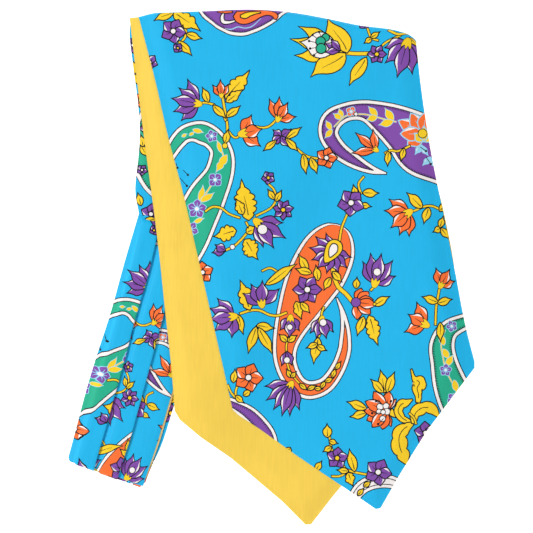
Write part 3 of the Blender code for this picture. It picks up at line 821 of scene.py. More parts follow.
def fringe(art, line, narrower, gap):
    """Short dark ticks that stand on a cone's border, inside it."""
    shape = narrowed(line, narrower)
    sense = 1.0 if area_of(shape) > 0 else -1.0
    step = np.linalg.norm(np.roll(shape, -1, axis=0) - shape, axis=1)
    place = np.concatenate(((0.0,), np.cumsum(step)))
    ring = np.vstack((shape, shape[:1]))

    def ring_at(distance):
        return np.array([np.interp(distance, place, ring[:, axis]) for axis in (0, 1)])

    for at in np.arange(gap, place[-1], gap):
        root = ring_at(at)
        along = ring_at(at + 0.2) - root
        size = np.linalg.norm(along)
        if size < 1e-6:
            continue
        along /= size
        inward = np.array((-along[1], along[0])) * sense
        foot = root + inward * TICK_START
        head = root + inward * TICK_LENGTH
        art.append((DARK, np.array((
            foot - along * TICK_FOOT, foot + along * TICK_FOOT,
            head + along * TICK_HEAD, head - along * TICK_HEAD,
        ))))


def draw_design():
    """The blade's whole design, from what lies under to what lies on top."""
    art = []
    for row in CONES:
        cone(art, *row)
    draw_inner(art)
    for row in PATCHES:
        ink(art, row.colour, ribbon(row.points), 0.0 if row.colour == HALO else LINE)
    for row in FRONDS:
        frond(art, row.points, row.lobes)
    for row in STEMS:
        stem(art, row.points, row.width)
    for row in LEAVES:
        leaf(art, *row)
    for row in SPRAYS:
        draw_spray(art, row)
    draw_lily(art)
    for row in BLOOMS:
        flower(art, *row)
    for row in DROP:
        ink(art, row.colour, curve(row.points, closed=True, steps=3))
    for row in DOTS:
        dot(art, *row, line=0.8)
    for row in STROKES:
        art.append((DARK, ribbon(((row.x, row.y, 0.35), (row.tip_x, row.tip_y, 0.4)), steps=2)))
        dot(art, row.tip_x, row.tip_y, 1.3, DARK, line=0.0, sides=8)
    return art


def draw_inner(art):
    """What lies inside the green and purple cones, with a pale line round it."""
    inner = []
    for row in INNER_STEMS:
        stem(inner, row.points, row.width, line=0.4)
    for row in INNER_LEAVES:
        leaf(inner, *row, line=0.55, vein=False)
    for row in INNER_SPRAYS:
        draw_spray(inner, row)
    for row in INNER_BLOOMS:
        flower(inner, *row[:-1], point=0.15, width=0.72, blunt=0.95, round_at=0.64, shine=False,
               line=0.7)
    art += [(HALO if colour == DARK else colour, shape) for colour, shape in inner]


def draw_lily(art):
    """The open lily at the top: its petals and pale inside, and what stands in it."""
    for row in LILY_LEAVES:
        leaf(art, *row, vein=row.colour != WHITE)
    for row in LILY_DOTS:
        dot(art, *row)
    draw_spray(art, LILY_SPRAY)


def draw_spray(art, row):
    """Petals from one root to each tip, the outer ones first, then the cup that holds them."""
    middle = (len(row.tips) - 1) / 2.0
    for i in sorted(range(len(row.tips)), key=lambda i: -abs(i - middle)):
        x, y = row.tips[i]
        length = math.hypot(x - row.x, y - row.y)
        turn = math.degrees(math.atan2(y - row.y, x - row.x))
        petal(art, row.x, row.y, turn, length, row.width, row.colour,
              shine=1 if row.colour != YELLOW else 0, round_at=0.56, blunt=0.75, point=row.point)
    if row.cup:
        x, y = np.mean(row.tips, axis=0)
        turn = math.degrees(math.atan2(y - row.y, x - row.x))
        shape = turned(np.array(CUP) * (CUP_SIZE * row.width), row.x, row.y, turn)
        ink(art, YELLOW, curve(shape, closed=True, steps=2), 0.5)


def draw_neck():
    """The few motifs of the narrow part."""
    art = []
    for row in NECK_CONES:
        cone(art, *row, edge=0.75)
    for row in NECK_LEAVES:
        leaf(art, *row)
    for row in NECK_BLOOMS:
        flower(art, *row)
    return all_to_mm(art)


# The cloth: flat cuts, divided, then laid in place.

def to_mm(shape):
    shape = np.asarray(shape, float)
    return np.stack(((shape[:, 0] - GRID_CENTRE[0]) * GRID, (GRID_CENTRE[1] - shape[:, 1]) * GRID), axis=1)


def all_to_mm(art):
    return [(colour, to_mm(shape)) for colour, shape in art]


def divide(cut, art, guides):
    """Triangles over a flat cut, divided along its print's edges and its guide lines."""
    low, high = cut.min(axis=0) - 1.0, cut.max(axis=0) + 1.0
    places, edges = [], []
    lines = [(cut, True)] + [(shape, True) for _, shape in art] + [(line, False) for line in guides]
    for line, closed in lines:
        if (line.max(axis=0) < low).any() or (line.min(axis=0) > high).any():
            continue
        first = len(places)
        count = len(line)
        places.extend(Vector((float(x), float(y))) for x, y in line)
        edges.extend((first + i, first + i + 1) for i in range(count - 1))
        if closed:
            edges.append((first + count - 1, first))
    found = delaunay_2d_cdt(places, edges, [], 0, 1e-5, False)
    flat = np.array([(v.x, v.y) for v in found[0]])
    faces = np.array([face for face in found[2] if len(face) == 3])
    faces = faces[winding(flat[faces].mean(axis=1), cut) != 0]
    used, faces = np.unique(faces, return_inverse=True)
    return flat[used], faces.reshape(-1, 3)


def divide_back(flat, rim, guides):
    """Larger triangles over the same cut for a side that nothing is printed on."""
    after = dict(rim.tolist())
    loop = [int(rim[0, 0])]
    while after[loop[-1]] != loop[0]:
        loop.append(after[loop[-1]])
    edge = flat[loop]
    inner = []
    for line in guides:
        if len(line) > 2:
            inner.extend(line)
            continue
        count = max(int(np.linalg.norm(line[1] - line[0]) / BACK_STEP), 2)
        inner.extend(line[0] + (line[1] - line[0]) * part for part in np.linspace(0.0, 1.0, count))
    inner = np.array(inner)
    inner = inner[winding(inner, edge) != 0]
    inner = inner[edge_distance(inner, edge, True) > BACK_CLEAR]
    places = [Vector((float(x), float(y))) for x, y in np.vstack((edge, inner))]
    count = len(loop)
    edges = [(i, (i + 1) % count) for i in range(count)]
    found = delaunay_2d_cdt(places, edges, [], 0, 1e-7, True)
    origin = [min(same) for same in found[3]]
    faces = np.array([[origin[i] for i in face] for face in found[2] if len(face) == 3])
    places = np.vstack((edge, inner))
    faces = faces[winding(places[faces].mean(axis=1), edge) != 0]
    back_of = np.zeros(len(flat), int)
    back_of[loop] = np.arange(count)
    return places, faces, back_of


def inks_at(places, art):
    """The ink that lies on top at each place."""
    inks = np.full(len(places), GROUND)
    blank = np.ones(len(places), bool)
    for colour, shape in reversed(art):
        inside = (places > shape.min(axis=0)) & (places < shape.max(axis=0))
        near = np.flatnonzero(blank & inside[:, 0] & inside[:, 1])
        near = near[winding(places[near], shape) != 0]
        inks[near] = colour
        blank[near] = False
    return inks


def grid_lines(cut, pitch, turn=0.0):
    """Guide lines over a cut at an even pitch, both ways."""
    up, right = axes(turn)
    u, v = cut @ right, cut @ up
    across = np.arange(u.min() + pitch / 2.0, u.max(), pitch)
    along = np.arange(v.min() + pitch / 2.0, v.max(), pitch)
    lines = [np.array((right * a + up * v.min(), right * a + up * v.max())) for a in across]
    lines += [np.array((right * u.min() + up * a, right * u.max() + up * a)) for a in along]
    return lines


def ripple(places, wave, share=1.0, count=7):
    """A low, soft unevenness: a few waves that cross each other."""
    rng = np.random.default_rng(wave.seed)
    total = np.zeros(len(places))
    for _ in range(count):
        turn = rng.uniform(0.0, np.pi)
        length = wave.size * rng.uniform(0.7, 1.6)
        phase = rng.uniform(0.0, 2.0 * np.pi)
        along = places @ np.array((math.cos(turn), math.sin(turn)))
        total += np.sin(along * 2.0 * np.pi / length + phase)
    return wave.height * share * total / math.sqrt(count)


def outward(flat, place, step=0.05):
    """The way out from the laid cloth at each flat place."""
    across = place(flat + (step, 0.0)) - place(flat - (step, 0.0))
    along = place(flat + (0.0, step)) - place(flat - (0.0, step))
    normal = np.cross(across, along)
    return normal / np.maximum(np.linalg.norm(normal, axis=1), 1e-9)[:, None]


def sheet_mesh(name, cut, place, thickness, cloth, art=(), guides=(), plain_back=False):
    """A closed sheet of cloth whose seen side is the cut laid by place."""
    flat, faces = divide(cut, art, guides)
    inks = inks_at(flat[faces].mean(axis=1), art)
    count = len(flat)
    sides = np.vstack((faces[:, (0, 1)], faces[:, (1, 2)], faces[:, (2, 0)]))
    keys = sides[:, 0] * count + sides[:, 1]
    rim = sides[~np.isin(keys, sides[:, 1] * count + sides[:, 0])]
    back, back_faces, back_of = flat, faces, np.arange(count)
    back_inks = inks
    if plain_back:
        back, back_faces, back_of = divide_back(flat, rim, guides)
        back_inks = np.full(len(back_faces), GROUND)
    normal = outward(flat, place)
    back_normal = outward(back, place)
    points = np.vstack((place(flat), place(back) - back_normal * thickness)) * MM
    rim_back = back_of[rim] + count
    rim_faces = np.column_stack((rim[:, 1], rim[:, 0], rim_back[:, 0], rim_back[:, 1]))
    back_faces = back_faces[:, ::-1] + count
    mesh = bpy.data.meshes.new(name)
    mesh.from_pydata(points.tolist(), [], faces.tolist() + back_faces.tolist() + rim_faces.tolist())
    mesh.materials.append(silk_material(cloth))
    mesh.shade_smooth()

    corners = np.concatenate((faces.ravel(), back_faces.ravel(), rim_faces.ravel()))
    edge_way = np.cross(points[rim_faces[:, 1]] - points[rim_faces[:, 0]],
                        points[rim_faces[:, 2]] - points[rim_faces[:, 1]])
    edge_way /= np.maximum(np.linalg.norm(edge_way, axis=1), 1e-12)[:, None]
    both = np.vstack((normal, -back_normal))
    turned_out = both[corners]
    rim_start = faces.size + back_faces.size
    turned_out[rim_start:] += np.repeat(edge_way, 4, axis=0)
    turned_out /= np.maximum(np.linalg.norm(turned_out, axis=1), 1e-9)[:, None]
    mesh.normals_split_custom_set(turned_out.tolist())

    colours = np.array([silk_colour(code) for code in SILKS])
    shown = np.concatenate((
        np.repeat(inks, 3), np.repeat(back_inks, 3), np.full(rim_faces.size, GROUND)))
    layer = mesh.color_attributes.new("ink", "BYTE_COLOR", "CORNER")
    layer.data.foreach_set("color", colours[shown].astype(np.float32).ravel())
    mesh.color_attributes.render_color_index = 0

    low = flat.min(axis=0)
    size = flat.max(axis=0) - low
    side = max(2.04 * size[0], 1.02 * size[1])
    both_flat = np.vstack((flat, back))
    under = corners >= count
    bake = (both_flat[corners] - low + 0.005 * side) / side
    bake[under, 0] += 0.5
    for layer_name, uv in (("OFBake", bake), ("Cut", both_flat[corners] * MM)):
        layer = mesh.uv_layers.new(name=layer_name)
        layer.data.foreach_set("uv", uv.astype(np.float32).ravel())
    item = bpy.data.objects.new(name, mesh)
    bpy.context.scene.collection.objects.link(item)
    return item


def neck_rows(count=12, columns=9):
    """Rows of places over the rear blade's narrow part, as the solids have them."""
    parts = np.linspace(0.0, 1.0, len(NECK))
    rows = []
    for part in np.linspace(0.0, 1.0, count):
        left, right = (
            np.array([np.interp(part, parts, column(NECK, side + "_" + axis)) for axis in "xy"])
            for side in ("left", "right")
        )
        row = [left + (right - left) * share for share in np.linspace(0.0, 1.0, columns)]
        for place in row:
            place[1] += (float(crest_y(place[0])) - UNDER_BACK - place[1]) * part**4
        rows.append(row)
    return rows


def neck_cut():
    """The narrow part's flat cut, with smooth sides."""
    parts = np.linspace(0.0, 1.0, len(NECK))
    fine = np.linspace(0.0, 1.0, 60)
    sides = {}
    for side in ("left", "right"):
        line = np.column_stack([smooth(parts, column(NECK, side + "_" + axis), fine) for axis in "xy"])
        line[:, 1] += (crest_y(line[:, 0]) - NECK_BACK - line[:, 1]) * fine**4
        sides[side] = line
    top = crest_line(sides["right"][-1][0], sides["left"][-1][0], 40, -NECK_BACK)
    return np.array(list(sides["right"]) + top + list(sides["left"][::-1])), sides


def band_place(station, across):
    up, right = axes(BAND_TILT)
    station, across = np.broadcast_arrays(np.asarray(station, float), np.asarray(across, float))
    return np.array(BAND_ORIGIN) + up * station[..., None] + right * across[..., None]


def band_outline():
    """The outline of the neckband's lower half, as it lies."""
    stations = np.linspace(0.0, BAND_TOP, 30)
    left = band_place(stations, flow(PLEATS, "station", "left", stations) + LOWER_INSET)
    right = band_place(stations, flow(PLEATS, "station", "under", stations))
    across = np.linspace(2.0, 50.0, 8)
    bottom = band_place(FOLD_STATION + FOLD_SLOPE * across + LOWER_INSET, across)
    return np.vstack((bottom, right, left[::-1]))


def under_outline():
    """The hidden layers' outline: inside the neck on the left, past it on the right."""
    rows = neck_rows()
    left = [np.array(row[0]) + (UNDER_INSET, 0.0) for row in rows]
    right = [np.array(row[-1]) + (UNDER_SPREAD * min(1.0, i / 3.0), 0.0)
             for i, row in enumerate(rows)]
    right[-1][1] = float(crest_y(right[-1][0])) - UNDER_BACK
    left[-1][1] = float(crest_y(left[-1][0])) - UNDER_BACK
    top = crest_line(right[-1][0], left[-1][0], 12, -UNDER_BACK)
    return np.array(right + top + left[::-1])


class Layers:
    """The levels that each layer of cloth lies at over the ones below."""

    def __init__(self):
        self.neck = np.array(neck_cut()[0])
        self.under = under_outline()
        self.band = band_outline()
        self.rear = blade_cut(REAR, REAR_PRINT_REACH)[0]

    def under_rear(self, places):
        return np.maximum.reduce((
            drape(places, self.neck, NECK_HEIGHT),
            drape(places, self.under, UNDER_HEIGHT),
            drape(places, self.band, BAND_HEIGHT),
        ))

    def under_front(self, places):
        return self.under_rear(places) + drape(places, self.rear, REAR_HEIGHT)


def edge_droop(places, free, depth, reach):
    """How far cloth comes down towards its free edge."""
    return depth * (1.0 - ease(edge_distance(places, free, False) / reach))


def rolled(flat, blade, back, radius, level, follow, limit):
    """Cloth that goes over the top fold: level before it, then turned down round it."""
    up, _ = axes(blade.tilt)
    start = crest_y(flat[:, 0]) - back - radius * up[1]
    past = np.maximum((flat[:, 1] - start) / up[1], 0.0)
    turn = np.minimum(past / radius, limit)
    base = flat - past[:, None] * up
    height = level(base)
    bend = height / 2.0 if follow else np.full(len(flat), radius)
    place = base + up * (bend * np.sin(turn))[:, None]
    return np.column_stack((place, height - bend + bend * np.cos(turn)))


def roll_guides(cut, back, radius, limit, count=14):
    """Guide lines along the top fold, close together where the cloth turns."""
    xs = np.linspace(cut[:, 0].min(), cut[:, 0].max(), 40)
    start = crest_y(xs) - back - radius
    return [np.column_stack((xs, start + part * radius)) for part in np.linspace(0.0, limit, count)]


def pleat_knots(stations):
    """Where the band's cloth lies across it at each station: flat place, distance and height."""
    left, first, second, right = (
        flow(PLEATS, "station", name, stations) for name in ("left", "first", "second", "right")
    )
    press = 1.0 - 0.45 * ease((stations - 140.0) / 24.0)
    low = np.full(len(stations), BAND_LOW)
    high = low + (BAND_HIGH - BAND_LOW) * press
    flat = BAND_EDGE
    last = left + BAND_EDGE
    knots = [(0.0, left, low - 0.5), (0.8, left + 0.8, low - 0.1), (flat, last, low + 0.1)]
    for width, fold in ((FIRST_PLEAT, first), (SECOND_PLEAT, second)):
        crown = fold - PLEAT_DEPTH + PLEAT_CROWN
        inner_fold = fold - PLEAT_DEPTH + PLEAT_INNER
        span = crown - last
        base = knots[-1][2]
        mean = width - PLEAT_DEPTH + PLEAT_CROWN - (BAND_EDGE if fold is first else PLEAT_OUT)
        for t in (0.2, 0.4, 0.6, 0.8, 1.0):
            rise = t * t * (3.0 - 2.0 * t)
            knots.append((flat + mean * t, last + span * t, base + (high + 0.12 - base) * rise))
        flat += mean
        run = PLEAT_DEPTH - PLEAT_CROWN - PLEAT_BEND
        for t in (0.3, 0.6, 0.85):
            knots.append((flat + run * t, crown + run * t, high + 0.12 * (1.0 - t)))
        flat += run
        outer = (high - low) / 3.0
        for turn in np.linspace(0.0, np.pi, 7):
            knots.append((flat + turn * 0.5, fold - PLEAT_BEND + PLEAT_BEND * np.sin(turn),
                          high - outer + outer * np.cos(turn)))
        flat += np.pi * 0.5
        back_run = PLEAT_DEPTH - PLEAT_BEND - PLEAT_INNER
        knots.append((flat + back_run * 0.5, fold - PLEAT_BEND - back_run * 0.5, high - 2.0 * outer))
        flat += back_run
        inner = outer / 2.0
        for turn in np.linspace(0.0, np.pi, 6):
            knots.append((flat + turn * 0.3, inner_fold - 0.35 * np.sin(turn),
                          low + inner + inner * np.cos(turn)))
        flat += np.pi * 0.3
        under_run = PLEAT_DEPTH - PLEAT_INNER + PLEAT_OUT
        last = fold + PLEAT_OUT
        knots.append((flat + under_run * 0.5, inner_fold + under_run * 0.5, low))
        knots.append((flat + under_run - 1.0, fold - 0.2, low))
        knots.append((flat + under_run, last, low))
        flat += under_run
    span = right - last
    for t in (0.25, 0.5, 0.75, 0.93):
        knots.append((flat + LAST_PANEL * t, last + span * t, low + 0.45 * math.sin(math.pi * t)))
    knots.append((flat + LAST_PANEL, right, low - 0.3))
    return knots


def laid_band(flat):
    """Places for the pleated half of the neckband, turned down at the bottom fold."""
    station = flat[:, 1]
    knots = pleat_knots(np.clip(station, 0.0, BAND_TOP))
    keys, across, heights = (np.array([knot[i] for knot in knots]) for i in range(3))
    s = np.clip(flat[:, 0], keys[0], keys[-1])
    low = np.clip(np.searchsorted(keys, s) - 1, 0, len(keys) - 2)
    span = keys[low + 1] - keys[low]
    t = (s - keys[low]) / span
    row = np.arange(len(s))

    def read(values):
        steps = (values[1:] - values[:-1]) / (keys[1:] - keys[:-1])[:, None]
        slopes = np.vstack((steps[:1], (steps[1:] + steps[:-1]) / 2.0, steps[-1:]))
        return between(values[low, row], values[low + 1, row], slopes[low, row],
                       slopes[low + 1, row], span, t)

    a = read(across) + (flat[:, 0] - s)
    z = read(heights)
    z = z + (SEAM_LEVEL - z) * ease((station - BAND_TOP + 4.0) / 3.8)
    fold = FOLD_STATION + FOLD_SLOPE * a + (BAND_HIGH - BAND_AXIS)
    past = np.maximum(fold - station, 0.0)
    turn = np.minimum(past / BAND_ROLL, BAND_TURN)
    radius = z - BAND_AXIS
    up, _ = axes(BAND_TILT)
    place = band_place(np.maximum(station, fold), a) - up * (radius * np.sin(turn))[:, None]
    return np.column_stack((place, BAND_AXIS + radius * np.cos(turn) + ripple(place, BAND_WAVE)))


def band_cut():
    """The pleated half's flat cut, with its pleats opened out."""
    keys = [knot[0] for knot in pleat_knots(np.array((80.0,)))]
    low = FOLD_STATION + BAND_HIGH - BAND_AXIS - BAND_TURN * BAND_ROLL
    xs = np.linspace(0.0, keys[-1], 30)
    shown = np.interp(xs, keys, [float(knot[1][0]) for knot in pleat_knots(np.array((0.0,)))])
    bottom = np.column_stack((xs, low + FOLD_SLOPE * shown))
    top = np.column_stack((xs[::-1], np.full(len(xs), BAND_TOP + SEAM_REACH)))
    return np.vstack((bottom, top)), keys, low


def band_guides(keys, low):
    """Guide lines along each fold of the band and across it, close together at both ends."""
    lines = [np.array(((key, low - 6.0), (key, BAND_TOP + 4.0))) for key in keys[1:-1]]
    for start, stop, count in ((low - 3.0, 7.0, 16), (11.0, 158.0, 34), (159.5, 167.0, 8)):
        lines += [np.array(((-1.0, station), (keys[-1] + 1.0, station)))
                  for station in np.linspace(start, stop, count)]
    return lines


def print_on_band(art):
    """The print on the opened neckband: each panel shows its own part of the same design."""
    up, right = axes(BAND_TILT)
    moved = []
    for panel in PANELS:
        for colour, shape in print_on_sheet(art, panel.place):
            placed = shape - BAND_ORIGIN
            flat = np.stack((placed @ right + panel.ahead, placed @ up), axis=1)
            if flat[:, 0].max() < panel.start or flat[:, 0].min() > panel.end:
                continue
            flat = clipped(clipped(flat, panel.start, 1.0), panel.end, -1.0)
            if len(flat) > 2:
                moved.append((colour, flat))
    return moved


def clipped(shape, limit, side):
    """The part of a shape on one side of a line across the cloth."""
    kept = []
    for here, after in zip(shape, np.roll(shape, -1, axis=0)):
        a, b = (here[0] - limit) * side, (after[0] - limit) * side
        if a >= 0.0:
            kept.append(here)
        if (a > 0.0 > b) or (a < 0.0 < b):
            kept.append(here + (after - here) * a / (a - b))
    return np.array(kept)


def print_on_sheet(art, place):
    """The print moved to its place on a sheet, in millimetres."""
    angle = math.radians(place.turn)
    c, s = math.cos(angle), math.sin(angle)
    moved = []
    for colour, shape in art:
        x = (shape[:, 0] - place.from_x) * place.size
        y = (shape[:, 1] - place.from_y) * place.size
        laid = np.stack((place.to_x + x * c - y * s, place.to_y + x * s + y * c), axis=1)
        moved.append((colour, to_mm(laid)))
    return moved


def silk_colour(silk):
    values = np.array((silk.red, silk.green, silk.blue)) / 255.0
    linear = np.where(values <= 0.04045, values / 12.92, ((values + 0.055) / 1.055) ** 2.4)
    return (*linear, 1.0)


def add_node(tree, kind, inputs=(), **settings):
    """A shader node whose inputs are linked where a socket is given, and set where a value is."""
    node = tree.nodes.new("ShaderNode" + kind)
    for name, value in settings.items():
        setattr(node, name, value)
    for key, value in dict(inputs).items():
        if isinstance(value, bpy.types.NodeSocket):
            tree.links.new(value, node.inputs[key])
        else:
            node.inputs[key].default_value = value
    return node


def math_value(tree, operation, *values):
    return add_node(tree, "Math", enumerate(values), operation=operation).outputs[0]


def weave_group():
    """Crossing threads with uneven thickness: a colour that varies a little, and a relief."""
    group = bpy.data.node_groups.new("Woven Silk", "ShaderNodeTree")
    face = group.interface
    face.new_socket(name="Colour", in_out="INPUT", socket_type="NodeSocketColor")
    for name, value in (("Threads", THREADS), ("Slub", 0.05), ("Relief", 0.12)):
        socket = face.new_socket(name=name, in_out="INPUT", socket_type="NodeSocketFloat")
        socket.default_value = value
    for name, kind in (("Colour", "Color"), ("Roughness", "Float"), ("Normal", "Vector")):
        face.new_socket(name=name, in_out="OUTPUT", socket_type="NodeSocket" + kind)
    given = group.nodes.new("NodeGroupInput").outputs
    out = group.nodes.new("NodeGroupOutput").inputs

    cut = add_node(group, "UVMap", uv_map="Cut").outputs["UV"]
    waves = [
        add_node(group, "TexWave", {
            "Vector": cut, "Scale": given["Threads"], "Distortion": 1.2, "Detail": 1.0,
        }, wave_type="BANDS", bands_direction=direction).outputs["Fac"]
        for direction in "XY"
    ]
    threads = math_value(group, "MULTIPLY", *waves)
    stretched = add_node(group, "Mapping", {"Vector": cut, "Scale": (900.0, 60.0, 1.0)})
    slub = add_node(group, "TexNoise", {
        "Vector": stretched.outputs["Vector"], "Scale": 1.0, "Detail": 3.0}).outputs["Fac"]
    cloud = add_node(group, "TexNoise", {
        "Vector": cut, "Scale": 42.0, "Detail": 2.0}).outputs["Fac"]

    uneven = math_value(group, "MULTIPLY_ADD", slub, 1.6, cloud)
    uneven = math_value(group, "SUBTRACT", uneven, 1.3)
    uneven = math_value(group, "MULTIPLY_ADD", uneven, given["Slub"], 1.0)
    fine = math_value(group, "MULTIPLY_ADD", threads, 0.05, -0.0125)
    tint = add_node(group, "HueSaturation", {
        "Color": given["Colour"], "Value": math_value(group, "ADD", uneven, fine)})
    rough = add_node(group, "MapRange", {"Value": slub, "To Min": 0.46, "To Max": 0.66})
    bump = add_node(group, "Bump", {
        "Distance": 0.0002, "Height": math_value(group, "ADD", threads, slub),
        "Strength": given["Relief"]})
    group.links.new(tint.outputs["Color"], out["Colour"])
    group.links.new(rough.outputs["Result"], out["Roughness"])
    group.links.new(bump.outputs["Normal"], out["Normal"])
    return group


def silk_material(cloth):
    """A cloth's material, made the first time it is asked for."""
    material = bpy.data.materials.get(cloth.name)
    if material:
        return material
    material = bpy.data.materials.new(cloth.name)
    material.use_nodes = True
    tree = material.node_tree
    colour = (silk_colour(cloth.silk) if cloth.silk else
              add_node(tree, "Attribute", attribute_name="ink").outputs["Color"])
    woven = add_node(tree, "Group", {
        "Threads": THREADS, "Slub": cloth.slub, "Relief": cloth.relief, "Colour": colour,
    }, node_tree=bpy.data.node_groups.get("Woven Silk") or weave_group())
    shader = tree.nodes["Principled BSDF"].inputs
    for name, source in (("Base Color", "Colour"), ("Roughness", "Roughness"), ("Normal", "Normal")):
        tree.links.new(woven.outputs[source], shader[name])
    shader["Specular IOR Level"].default_value = 0.2
    shader["Sheen Weight"].default_value = 0.07
    shader["Sheen Roughness"].default_value = 0.4
    return material


def declare(item, node, cut, tilt):
    """Attaches a piece to the root and hides its CAD node in its stead, if it has one; the flat cut's size
    and area are worked out but not stated.
    """
    up, right = axes(tilt)
    size = (float(np.ptp(cut @ right)) * MM, float(np.ptp(cut @ up)) * MM)
    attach(item, "root")
    if node:
        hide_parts(node)
    area = min(abs(area_of(cut)) * MM * MM, size[0] * size[1])


def clean(cut):
    """An outline without its repeated places."""
    gap = np.linalg.norm(cut - np.roll(cut, 1, axis=0), axis=1)
    return cut[gap > 0.02]


def lining_peek(cut):
    """The lining's edge shows by a thread's width along part of the right side."""
    moved = cut.copy()
    right = cut[:, 0] > 40.0
    part = (cut[:, 1] - LINING_PEEK.low) / (LINING_PEEK.high - LINING_PEEK.low)
    swell = np.where((part > 0.0) & (part < 1.0), np.sin(np.pi * np.clip(part, 0.0, 1.0)) ** 0.6, 0.0)
    moved[:, 0] += np.where(right, LINING_PEEK.out * swell, 0.0)
    return moved


DESIGN = draw_design()


class CravatCloth(bpy.types.PropertyGroup):
    """Sizes of the cloth itself."""
    silk: bpy.props.FloatProperty(
        name="Silk", description="Thickness of one layer of printed silk",
        default=0.00045, min=0.0002, max=0.0009, unit="LENGTH")
    lining: bpy.props.FloatProperty(
        name="Lining", description="Thickness of one layer of lining",
        default=0.0004, min=0.0002, max=0.0009, unit="LENGTH")
    droop: bpy.props.FloatProperty(
        name="Edge droop", description="How far a blade's free edge comes down to the layer below",
        default=0.0015, min=0.0, max=0.002, unit="LENGTH")
    unevenness: bpy.props.FloatProperty(
        name="Unevenness", description="Height of the soft waves in the cloth as it lies",
        default=0.00014, min=0.0, max=0.0006, unit="LENGTH")


class CravatStage(bpy.types.PropertyGroup):
    """The camera and the lights."""
    lens: bpy.props.FloatProperty(
        name="Lens", description="Focal length of the camera in millimetres",
        default=220.0, min=50.0, max=400.0)
    key: bpy.props.FloatProperty(
        name="Main light", description="Power that each light takes its share of, in watts",
        default=10.2, min=0.0, max=80.0)
    fill: bpy.props.FloatProperty(
        name="Surround", description="Strength of the white surround", default=0.36, min=0.0, max=3.0)


class CRAVAT_OT_under(bpy.types.Operator):
    """Lays the hidden layers and the lower half of the neckband"""
    bl_idname = "cravat.under"
    bl_label = "Hidden layers"

    def execute(self, context):
        cloth = context.scene.cravat_cloth
        layers = Layers()
        silk = cloth.silk / MM

        def level(height, cut):
            edge = np.vstack((cut, cut[:1]))

            def place(flat):
                drop = edge_droop(flat, edge, height - silk - SLIT, 5.0)
                return np.column_stack((flat, height - drop))
            return place

        cut = grow(layers.under, -0.5)
        inner = grow(layers.under, -1.2)
        guides = grid_lines(cut, 9.0)
        low = sheet_mesh("hidden_layers_print", cut, level(silk + SLIT, cut), silk, PRINTED,
                         guides=guides)
        high = sheet_mesh("hidden_layers_lining", inner, level(1.15, cut), cloth.lining / MM,
                          LINING, guides=guides)
        declare(low, "under_layers", cut, 0.0)
        declare(high, None, inner, 0.0)
        cut = grow(layers.band, -0.2)
        under = sheet_mesh("neckband_lower_half", cut, level(1.1, cut), silk, PRINTED,
                           print_on_sheet(DESIGN, BAND_PRINT), grid_lines(cut, 6.0, BAND_TILT))
        declare(under, "neckband_under", cut, BAND_TILT)
        return {"FINISHED"}


class CRAVAT_OT_neck(bpy.types.Operator):
    """Lays the narrow part of the rear blade, from the notch to the top fold"""
    bl_idname = "cravat.neck"
    bl_label = "Narrow part"

    def execute(self, context):
        wave = context.scene.cravat_cloth.unevenness / MM
        cut, sides = neck_cut()
        seam = np.array((sides["left"][0], sides["right"][0]))

        def place(flat):
            z = 2.5 - edge_droop(flat, sides["left"], 0.6, 3.5)
            z = z - edge_droop(flat, sides["right"], 0.6, 6.0)
            z = z - edge_droop(flat, seam, 0.3, 2.0) + ripple(flat, NECK_WAVE, wave)
            return np.column_stack((flat, z))

        item = sheet_mesh("rear_blade_narrow_part", cut, place, NECK_THICKNESS, PRINTED,
                          draw_neck(), grid_lines(cut, 3.0))
        declare(item, "rear_blade_neck", cut, 0.0)
        return {"FINISHED"}


class CRAVAT_OT_neckband(bpy.types.Operator):
    """Pleats the upper half of the neckband and lays its lining strip under the last pleat"""
    bl_idname = "cravat.neckband"
    bl_label = "Pleated neckband"

    def execute(self, context):
        cloth = context.scene.cravat_cloth
        cut, keys, low = band_cut()
        item = sheet_mesh("neckband_upper_half", cut, laid_band, BAND_THICKNESS, PRINTED,
                          print_on_band(DESIGN), band_guides(keys, low))
        declare(item, "neckband", cut, 0.0)

        stations = np.linspace(2.4, BAND_TOP, 50)
        right = band_place(stations, flow(PLEATS, "station", "lining", stations))
        left = band_place(stations, flow(PLEATS, "station", "second", stations) + 8.0)
        cut = np.vstack((right, left[::-1]))

        def place(flat):
            z = 1.85 - edge_droop(flat, right, 0.3, 3.0) + ripple(flat, STRIP_WAVE)
            return np.column_stack((flat, z))

        strip = sheet_mesh("neckband_lining_strip", cut, place, cloth.lining / MM, PALE,
                           guides=grid_lines(cut, 4.0, BAND_TILT))
        declare(strip, "neckband_lining", cut, BAND_TILT)
        return {"FINISHED"}


